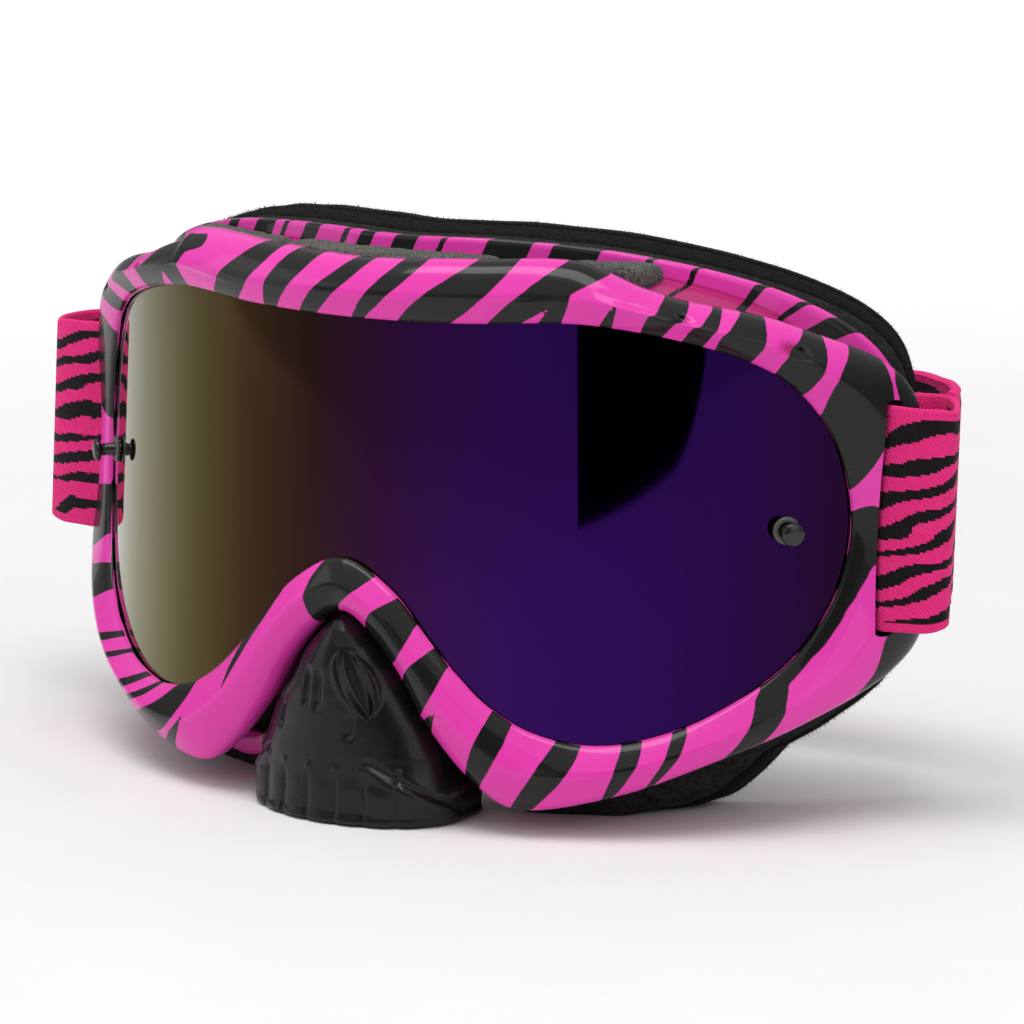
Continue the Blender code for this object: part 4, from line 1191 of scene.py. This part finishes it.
gx, gy, gox, goy = guard_plan(guard_z, guard_half, guard_forward, GUARD_REAR)
gz = np.repeat(guard_z[:, None], gx.shape[1], 1)
girth = np.cumsum(np.hypot(np.diff(gx, axis=1), np.diff(gy, axis=1)), axis=1)
girth = np.concatenate([np.zeros((GUARD_ROWS, 1)), girth], 1)
round_by = -(girth - girth[:, -1:] / 2)      # distance round the front, + towards +X
press = np.zeros_like(gx)
FEATURES_ASIDE = -3.5      # the moulded pattern sits a little to one side
SCOOP_ASIDE, SCOOP_LEVEL, SCOOP_LEAN = 9.2, -27.5, 0.48
SCOOP_TALL, SCOOP_WIDE, SCOOP_DEPTH = 6.2, 3.1, 1.5
# place aside, height, half width, half height, depth
SHORT_SLOTS = ((1.5, -29.3, 0.75, 4.0, 0.6), (8.6, -35.4, 0.7, 2.6, 0.7))
FOLD_ASIDE, FOLD_LEVEL, FOLD_SLOPE = 11.8, -41.6, 0.5
DOTS_ASIDE, DOT_LEVEL, DOT_RADIUS = (-18.2, -12.0, -6.2, 0.0, 6.2, 12.0, 18.2), -43.4, 0.55
from_middle = round_by - FEATURES_ASIDE
for way in (1, -1):
    aside = way * from_middle
    # almond scoops, leaning out as they go down
    u = aside - SCOOP_ASIDE + (gz - SCOOP_LEVEL) * SCOOP_LEAN
    v = (gz - SCOOP_LEVEL) / SCOOP_TALL
    almond = np.abs(u) / (SCOOP_WIDE * np.clip(1 - v ** 2, 0.02, 1) ** 0.7)
    inside = (1 - smooth(almond, 0.3, 1.0)) * (np.abs(v) < 1)
    press -= SCOOP_DEPTH * inside * (0.75 - 0.25 * v)
    press += 0.35 * bump(almond, 1.15, 0.25) * (1 - smooth(np.abs(v), 0.75, 1.05))
    for middle, height, wide, tall, deep in SHORT_SLOTS:
        press -= deep * bump(aside, middle, wide) * (
            1 - smooth(np.abs(gz - height), tall * 0.55, tall * 1.1))
    # a fold line that runs down and back from the third dot
    fold = (gz - FOLD_LEVEL) + FOLD_SLOPE * (aside - FOLD_ASIDE)
    on_fold = smooth(aside, 11.4, 13.5) * (1 - smooth(aside, 29.0, 32.0))
    press -= 0.6 * bump(fold, 0, 0.55) * on_fold
    press += 0.4 * bump(fold, -1.5, 1.1) * on_fold
    # the hem swells at the sides
    press += 1.1 * bump(gz, -48.5, 4.0) * smooth(aside, 10.0, 18.0)
for place_round in DOTS_ASIDE:
    from_dot = np.hypot(from_middle - place_round, gz - DOT_LEVEL)
    press += 0.4 * np.exp(-(from_dot / DOT_RADIUS) ** 2.5)
    press -= 0.42 * bump(from_middle, place_round, 0.42) * smooth(-gz, 44.4, 46.5)
    press += 0.18 * bump(from_middle, place_round + 3.1, 1.7) * smooth(-gz, 44.5, 47.5)
press += 0.35 * bump(gz, -52.9, 0.8)
press -= 0.6 * smooth(-gz, 53.3, 54.0)
press *= smooth(-gz, 17.5, 20.5)
outer = world(gx + gox * press, gy + goy * press, gz)
inner_half = np.maximum(guard_half - GUARD_WALL, 0.05)
ix, iy, _, _ = guard_plan(guard_z, inner_half, guard_forward - GUARD_WALL, GUARD_REAR)
inner_z = np.maximum(guard_z - GUARD_WALL * (1 - smooth(-guard_z, 46, 54)), -EYE_HEIGHT)
inner = world(ix, iy, np.repeat(inner_z[:, None], ix.shape[1], 1))[:, ::-1]
guard_black = plastic("satin_guard_plastic", (0.005, 0.005, 0.005), (0.010, 0.010, 0.0095), 0.24, 0.15,
                      1400.0, 0.00002, Specular_IOR_Level=0.3)
guard = skin("guard_shell", np.concatenate([outer, inner], 1), guard_black, along=False, caps=True,
             crease=55)
finish_piece(guard, "guard", "guard", "nose_guard")
PEG_PLACE, PEG_RADIUS, PEG_REACH = (13.9, -31.5), 1.0, 2.4
for way, name in ((1, "right"), (-1, "left")):
    centre = world(way * PEG_PLACE[0], GUARD_REAR - 1.0, PEG_PLACE[1])
    peg = [(PEG_RADIUS, 0.0), (PEG_RADIUS, 2.2), (PEG_RADIUS - 0.1, 2.3), (PEG_RADIUS - 0.1, 2.6),
           (PEG_RADIUS, 2.7), (PEG_RADIUS, 0.8 + PEG_REACH), (PEG_RADIUS * 0.7, 1.0 + PEG_REACH)]
    finish_piece(turned("guard_peg_" + name, peg, centre, Vector((0, 1, 0)), guard_black, 24),
                 "guard", "guard")

# %% [markdown]
# ## Woven strap
# The strap is a patterned elastic band.  Its zebra bands are woven in, so they run in small steps
# from thread to thread, unlike paint.  The pattern therefore counts threads: the distance along and
# across the band is rounded to one thread before the bands are worked out.  The threads also give
# the twill relief in the bump.

# %% Webbing material
THREAD = 0.42              # millimetres from one thread to the next
STRAP_CENTRE = 40.0        # the middle of the band, counted across it
SELVEDGE = 18.9            # the bands stop this far from the middle


def snapped(tree, value, size):
    """Round a value down to whole threads."""
    return maths(tree, "MULTIPLY", maths(tree, "FLOOR", maths(tree, "DIVIDE", value, size)), size)


webbing, tree, shader, place = material("jacquard_webbing", Sheen_Weight=0.06, Sheen_Roughness=0.4,
                                         Specular_IOR_Level=0.2)
pattern = add(tree, "UVMap", uv_map="pattern").outputs["UV"]
parts_of = add(tree, "SeparateXYZ", {0: pattern})
run, rise = parts_of.outputs["X"], parts_of.outputs["Y"]
thread_run, thread_rise = snapped(tree, run, THREAD * 1.3), snapped(tree, rise, THREAD)
step_place = add(tree, "CombineXYZ", {"X": maths(tree, "MULTIPLY", thread_run, 0.045),
                                      "Y": maths(tree, "MULTIPLY", thread_rise, 0.085)}).outputs[0]
bend = noise(tree, step_place, 1.0, 1.5)
fork = noise(tree, step_place, 2.7, 1.0)
# bands every few millimetres, bent by slow noise and thinned in places by a quicker one
slanted = maths(tree, "MULTIPLY_ADD", thread_run, -0.27, thread_rise)
phase = maths(tree, "MULTIPLY_ADD", bend, 11.0, slanted)
wave = maths(tree, "SINE", maths(tree, "MULTIPLY", phase, 2 * math.pi / 5.0))
level_of = maths(tree, "MULTIPLY_ADD", fork, 2.4, -0.95)
dark_band = step(tree, maths(tree, "SUBTRACT", wave, level_of), -0.02, 0.02)
aside = maths(tree, "ABSOLUTE", maths(tree, "SUBTRACT", rise, STRAP_CENTRE))
dark_band = maths(tree, "MULTIPLY", dark_band, step(tree, aside, SELVEDGE + 0.1, SELVEDGE - 0.1))
twill = maths(tree, "SINE", maths(tree, "MULTIPLY", maths(tree, "MULTIPLY_ADD", run, 1.25, rise),
                                  2 * math.pi / 0.9))
picks = maths(tree, "SINE", maths(tree, "MULTIPLY", rise, 2 * math.pi / THREAD))
relief = maths(tree, "MULTIPLY_ADD", picks, 0.35, twill)
relief = maths(tree, "MULTIPLY_ADD", noise(tree, place, 1500.0, 3.0), 1.2, relief)
strand = step(tree, twill, -1.0, 1.0)
band_pink = blend(tree, strand, (0.80, 0.012, 0.16), (0.92, 0.026, 0.24))
band_pink = blend(tree, maths(tree, "MULTIPLY", noise(tree, place, 500.0, 4.0), 0.5), band_pink,
                  (0.95, 0.05, 0.31))
band_ink = blend(tree, strand, (0.003, 0.002, 0.003), (0.008, 0.005, 0.006))
feed(tree, shader, blend(tree, dark_band, band_pink, band_ink),
     maths(tree, "MULTIPLY_ADD", noise(tree, place, 700.0, 2.0), 0.3, 0.62), relief, depth=0.00006)
print("made", webbing.name, "with", round(2 * SELVEDGE / THREAD), "threads across its bands")

# %% Webbing ribbons
STRAP_THICKNESS = 1.4
STRAP_REAR, LAYER_STEP = 83.5, 2.4
SLOT_LEAVE = (-0.6, 1.4)
SLOT_BACK = (-0.2, -3.2)
LOOP_SWEEP = (
    (103.3, 3.5), (105.9, 6.3), (108.8, 8.9), (111.3, 9.7), (113.5, 9.2), (115.7, 7.2), (118.0, 4.4),
    (120.1, 0.6), (120.2, -3.8), (116.4, -6.2), (112.0, -6.2), (107.5, -6.2), (104.0, -5.6))
SIDE_SWEEP = ((91.6, 63.6), (90.6, 67.8), (88.8, 71.8), (86.0, 75.6), (82.4, 79.0), (77.4, 81.9),
              (70.8, 83.3), (60.2, 83.5))


def even_path(points, steps, closed=False):
    """A smooth path through points, at evenly spaced steps, with its running length."""
    points = np.asarray(points, float)
    if closed:
        points = np.concatenate([points[-2:], points, points[:3]])
        place = np.linspace(2, len(points) - 3, 4000)
    else:
        place = np.linspace(0, len(points) - 1, 4000)
    fine = np.stack([spline(points[:, k], place) for k in range(points.shape[1])], 1)
    run_by = np.concatenate([[0], np.cumsum(np.linalg.norm(np.diff(fine[:, :2], axis=0), axis=1))])
    want = np.linspace(0, run_by[-1], steps + 1)
    want = want[:-1] if closed else want
    even = np.stack([np.interp(want, run_by, line) for line in fine.T], 1)
    return even, want, run_by[-1]


def ribbon(name, points, thickness, way=1, closed=False, steps=200, offset=0.0, pinch=None):
    """Webbing on edge: points are (x, y, lean) along its middle; its edges are round and wavy."""
    path, run_by, total = even_path(points, steps, closed)
    ahead = np.roll(path, -1, 0) - np.roll(path, 1, 0) if closed else np.gradient(path, axis=0)
    ahead = ahead[:, :2] / np.linalg.norm(ahead[:, :2], axis=1)[:, None]
    normal = np.stack([-ahead[:, 1], ahead[:, 0]], 1)
    half, rim = STRAP_WIDTH / 2, thickness * 0.5
    rise = np.linspace(-1, 1, 24)
    bead = np.linspace(-np.pi / 2, np.pi / 2, 7)[1:-1]
    profile = [(1.0, r * (half - rim)) for r in rise]
    profile += [(math.cos(b + np.pi / 2), half - rim + rim * math.sin(b + np.pi / 2)) for b in bead]
    profile += [(-1.0, r * (half - rim)) for r in rise[::-1]]
    profile += [(-math.cos(b + np.pi / 2), -half + rim - rim * math.sin(b + np.pi / 2)) for b in bead]
    profile = np.array(profile)
    # the woven selvedge is a little thinner than the middle
    slim = 1 - 0.22 * smooth(np.abs(profile[:, 1]), half - 2.4, half - 1.4) * (1 - smooth(
        np.abs(profile[:, 1]), half - 1.2, half - 0.6))
    side_by = profile[None, :, 0] * slim[None, :] * thickness / 2
    shrink = np.ones(len(path))
    if pinch is not None:
        shrink = 1 - pinch[2] * bump(run_by, pinch[0], pinch[1])
    height_by = profile[None, :, 1] * shrink[:, None]
    wavy = 0.10 * np.sin(run_by * 0.55 + 1.0)[:, None] * (np.abs(profile[None, :, 1]) / half) ** 4
    height = STRAP_MIDDLE + height_by + wavy * np.sign(profile[None, :, 1])
    x = way * (path[:, 0:1] + side_by * normal[:, 0:1])
    y = path[:, 1:2] + side_by * normal[:, 1:2] + path[:, 2:3] * height
    uv = np.stack([np.repeat(way * (run_by[:, None] + offset), len(profile), 1),
                   np.repeat(profile[None, :, 1] + STRAP_CENTRE, len(path), 0)], -1)
    return skin(name, world(x, y, height), webbing, along=closed, caps=not closed, uv=uv,
                period=(way * total, 0.0), crease=50)


slot_middle = SLOT_NEAR + SLOT_WIDTH / 2
loop_polar = [(slot_middle + SLOT_LEAVE[0], SLOT_LEAVE[1]), *LOOP_SWEEP,
              (slot_middle + SLOT_BACK[0], SLOT_BACK[1])]
LOOSE = {1: 1.0, -1: 1.28}  # the left turn hangs a little looser than the right
LONG = {1: 0.82, -1: 1.0}   # and the right one is pulled a little shorter


def loop_points(way):
    """The turn of webbing through a slot, swung out by how loosely it hangs."""
    reach = [(loop_polar[0][0] + (a - loop_polar[0][0]) * LONG[way],
              WRAP_RADIUS + out * (LOOSE[way] if out > 4 else 1.0)) for a, out in loop_polar]
    return [(r * math.sin(a / WRAP_RADIUS), WRAP_RADIUS - r * math.cos(a / WRAP_RADIUS), LEAN)
            for a, r in reach]


side_points = [(x, y, LEAN * (1 - i / (len(SIDE_SWEEP) - 1))) for i, (x, y) in enumerate(SIDE_SWEEP)]
for way, name in ((1, "right"), (-1, "left")):
    loop = ribbon("webbing_loop_" + name, loop_points(way), STRAP_THICKNESS, way, closed=True, steps=260,
                  offset=30.0 if way > 0 else 96.0, pinch=(14.0, 3.2, 0.035))
    finish_piece(loop, "goggles", "webbing", "strap_loop_" + name)
    band = ribbon("webbing_side_" + name, side_points, 2 * STRAP_THICKNESS - 0.4, way, steps=160,
                  offset=150.0)
    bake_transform(band)
    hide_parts("strap_side_" + name)
    print(band.name, len(band.data.polygons), "faces between goggles and rear_strap")

# %% Rear strap with its turns round the buckle
RING_BAR, RING_NEAR, RING_FAR = 2.6, 20.7, 33.3
inner_run = STRAP_REAR - LAYER_STEP
bow = RING_BAR / 2 + GAP + STRAP_THICKNESS / 2
middle = STRAP_REAR - LAYER_STEP / 2
near, far = RING_NEAR + RING_BAR / 2, RING_FAR - RING_BAR / 2
long_run = [(-59.8, STRAP_REAR), (-40, STRAP_REAR), (-20, STRAP_REAR), (0.0, STRAP_REAR),
            (near - 8.0, STRAP_REAR), (near - 4.0, middle + bow), (near + 1.3, middle + bow),
            (near + 3.2, middle + bow * 0.6),
            (near + 3.7, middle), (near + 3.2, middle - bow * 0.6), (near + 1.3, middle - bow),
            (near - 4.0, middle - bow), (near - 8.0, inner_run), (0.0, inner_run), (-10, inner_run),
            (-20.0, inner_run)]
short_run = [(59.8, STRAP_REAR), (50.0, STRAP_REAR), (far + 8.0, STRAP_REAR), (far + 4.0, middle + bow),
             (far - 1.3, middle + bow), (far - 3.2, middle + bow * 0.6), (far - 3.7, middle),
             (far - 3.2, middle - bow * 0.6), (far - 1.3, middle - bow), (far + 4.0, middle - bow),
             (far + 8.0, inner_run), (far + 14.0, inner_run), (far + 20.0, inner_run)]
for name, run_points in (("long", long_run), ("short", short_run)):
    piece = ribbon("webbing_rear_" + name, [(x, y, 0.0) for x, y in run_points], STRAP_THICKNESS,
                   steps=300 if name == "long" else 180, offset=300.0)
    finish_piece(piece, "rear_strap", "webbing", "strap_rear_" + name)

# %% [markdown]
# ### Stitching
# The webbing ends are sewn down with rows of short stitches.  A row is a straight guide curve, and
# Geometry Nodes set a rounded stitch on it at even spacing, turned along the curve.

# %% A Geometry Nodes tree for stitches
stitch_tree, start, end = geometry_tree(
    "stitch_row", ("Spacing", "Float", 0.0016), ("Length", "Float", 0.0012),
    ("Thickness", "Float", 0.0002))
as_curve = node(stitch_tree, "GeometryNodeMeshToCurve", {"Mesh": start["Geometry"]})
spaced = node(stitch_tree, "GeometryNodeResampleCurve", {
    "Curve": as_curve.outputs[0], "Length": start["Spacing"]}, mode="LENGTH")
tangent = node(stitch_tree, "GeometryNodeInputTangent")
aim_along = node(stitch_tree, "FunctionNodeAlignRotationToVector", {"Vector": tangent.outputs[0]},
                 axis="Z")
bar = node(stitch_tree, "GeometryNodeMeshUVSphere", {"Segments": 6, "Rings": 5, "Radius": 0.5})
as_thread = add(stitch_tree, "CombineXYZ", {"X": start["Thickness"], "Y": start["Thickness"],
                                            "Z": start["Length"]})
placed = node(stitch_tree, "GeometryNodeInstanceOnPoints", {
    "Points": spaced.outputs[0], "Instance": bar.outputs["Mesh"], "Rotation": aim_along.outputs[0],
    "Scale": as_thread.outputs[0]})
close_tree(stitch_tree, start, end, placed.outputs[0])

# %% Sew the ends of the webbing
STITCH_SPACING, STITCH_LENGTH, STITCH_THICKNESS = 0.0019, 0.00145, 0.00042      # metres
thread_pink, tree, shader, place = material("sewing_thread", Roughness=0.55, Sheen_Weight=0.3)
feed(tree, shader, blend(tree, noise(tree, place, 900.0, 3.0), (0.55, 0.012, 0.10), (0.85, 0.05, 0.25)),
     height=noise(tree, place, 2500.0, 3.0), depth=0.00004)


def stitches(name, body, lines):
    """Rows of stitches along straight lines, each a pair of drawing points in millimetres."""
    points, edges = [], []
    for a, b in lines:
        edges.append((len(points), len(points) + 1))
        points += [world(*a).tolist(), world(*b).tolist()]
    guide_mesh = bpy.data.meshes.new(name + "_guide")
    guide_mesh.from_pydata(points, edges, [])
    guide = bpy.data.objects.new(name + "_guide", guide_mesh)
    made = grown(name, guide, stitch_tree, Spacing=STITCH_SPACING, Length=STITCH_LENGTH,
                 Thickness=STITCH_THICKNESS, Material=thread_pink)
    bpy.data.objects.remove(guide)
    made.data.shade_smooth()
    return finish_piece(made, body, "webbing")


ROW_MARGIN, ROW_PROUD = 1.6, 0.02      # from the webbing's edges, and out of its face
low, high = STRAP_LOW + ROW_MARGIN, STRAP_HIGH - ROW_MARGIN
front_face = inner_run - STRAP_THICKNESS / 2 - ROW_PROUD
rear_face = STRAP_REAR + STRAP_THICKNESS / 2 + ROW_PROUD
for name, rear_rows, front_rows in (("long", (-56.0, -53.6), (-19.4, 13.0)),
                                    ("short", (56.0, 53.6), (50.4, 43.0))):
    rows = [(x, rear_face) for x in rear_rows] + [(x, front_face) for x in front_rows]
    stitches("stitches_rear_" + name, "rear_strap", [((x, y, low), (x, y, high)) for x, y in rows])

# %% [markdown]
# ## Buckle and slider
# The buckle is a rounded rectangle of steel wire: Geometry Nodes draw the rectangle, round its
# corners and sweep a round profile along it.  The slider is a flat plastic sleeve with small ribs
# to grip, made from one closed section carried round the sleeve.

# %% Build the buckle
RING_ROOM = 0.6            # between the webbing's edges and the ring, and the slider
ring_tree, start, end = geometry_tree(
    "wire_rectangle", ("Width", "Float", 0.01), ("Height", "Float", 0.05),
    ("Corner", "Float", 0.002), ("Wire", "Float", 0.0013))
shape_of = node(ring_tree, "GeometryNodeCurvePrimitiveQuadrilateral", {
    "Width": start["Width"], "Height": start["Height"]})
rounded = node(ring_tree, "GeometryNodeFilletCurve", {
    "Curve": shape_of.outputs[0], "Radius": start["Corner"], "Count": 8}, mode="POLY")
wire = node(ring_tree, "GeometryNodeCurvePrimitiveCircle", {"Resolution": 24, "Radius": start["Wire"]})
swept = node(ring_tree, "GeometryNodeCurveToMesh", {
    "Curve": rounded.outputs[0], "Profile Curve": wire.outputs[0]})
close_tree(ring_tree, start, end, swept.outputs[0])
seed = bpy.data.objects.new("ring_seed", bpy.data.meshes.new("ring_seed"))
ring_low = STRAP_LOW - RING_ROOM - RING_BAR / 2
ring_high = STRAP_HIGH + RING_ROOM + RING_BAR / 2
buckle = grown("steel_buckle", seed, ring_tree, Width=(far - near) * MM,
               Height=(ring_high - ring_low) * MM, Corner=0.0022, Wire=RING_BAR / 2 * MM,
               Material=steel)
points = np.array([v.co for v in buckle.data.vertices])
points = np.stack([points[:, 0], points[:, 2], points[:, 1]], 1)
points += world((near + far) / 2, middle, (ring_low + ring_high) / 2)
buckle.data.vertices.foreach_set("co", points.astype(np.float32).ravel())
bm = bmesh.new()
bm.from_mesh(buckle.data)
face_outwards(bm)
bm.to_mesh(buckle.data)
bm.free()
buckle.data.shade_smooth()
finish_piece(buckle, "rear_strap", "buckle", "strap_ring")

# %% Build the slider
SLIDER_WALL, SLIDER_LENGTH, SLIDER_PLACE, SLIDER_POINTS = 1.6, 9.0, -14.0, 160
EDGE_ROUND, RIB_COUNT, RIB_DEPTH = 0.4, 13, 0.3
room = LAYER_STEP / 2 + STRAP_THICKNESS / 2 + GAP
half_tall = STRAP_WIDTH / 2 + RING_ROOM
deep_by, tall_by = squared_circle(SLIDER_POINTS, 0.25, 0.25)
half_long = SLIDER_LENGTH / 2
profile = [(-half_long + EDGE_ROUND, 0.0), (half_long - EDGE_ROUND, 0.0), (half_long, EDGE_ROUND),
           (half_long, 1.2), (half_long - EDGE_ROUND, SLIDER_WALL)]
for rib in np.linspace(half_long - 1.2, -half_long + 1.2, RIB_COUNT):
    profile.append((rib, SLIDER_WALL - (RIB_DEPTH if len(profile) % 2 else 0.0)))
profile += [(-half_long + EDGE_ROUND, SLIDER_WALL), (-half_long, 1.2), (-half_long, EDGE_ROUND)]
grid = np.zeros((SLIDER_POINTS, len(profile), 3))
for j, (along_x, wall_out) in enumerate(profile):
    grid[:, j] = world(SLIDER_PLACE + along_x, middle + deep_by * (room + wall_out),
                       STRAP_MIDDLE + tall_by * (half_tall + wall_out))
slider_black = plastic("slider_black_nylon", (0.010, 0.010, 0.010), (0.020, 0.020, 0.020), 0.38, 0.2,
                       1600.0, 0.00003)
slider = skin("strap_slider_sleeve", grid, slider_black, crease=35)
finish_piece(slider, "slider", "buckle", "strap_slider")
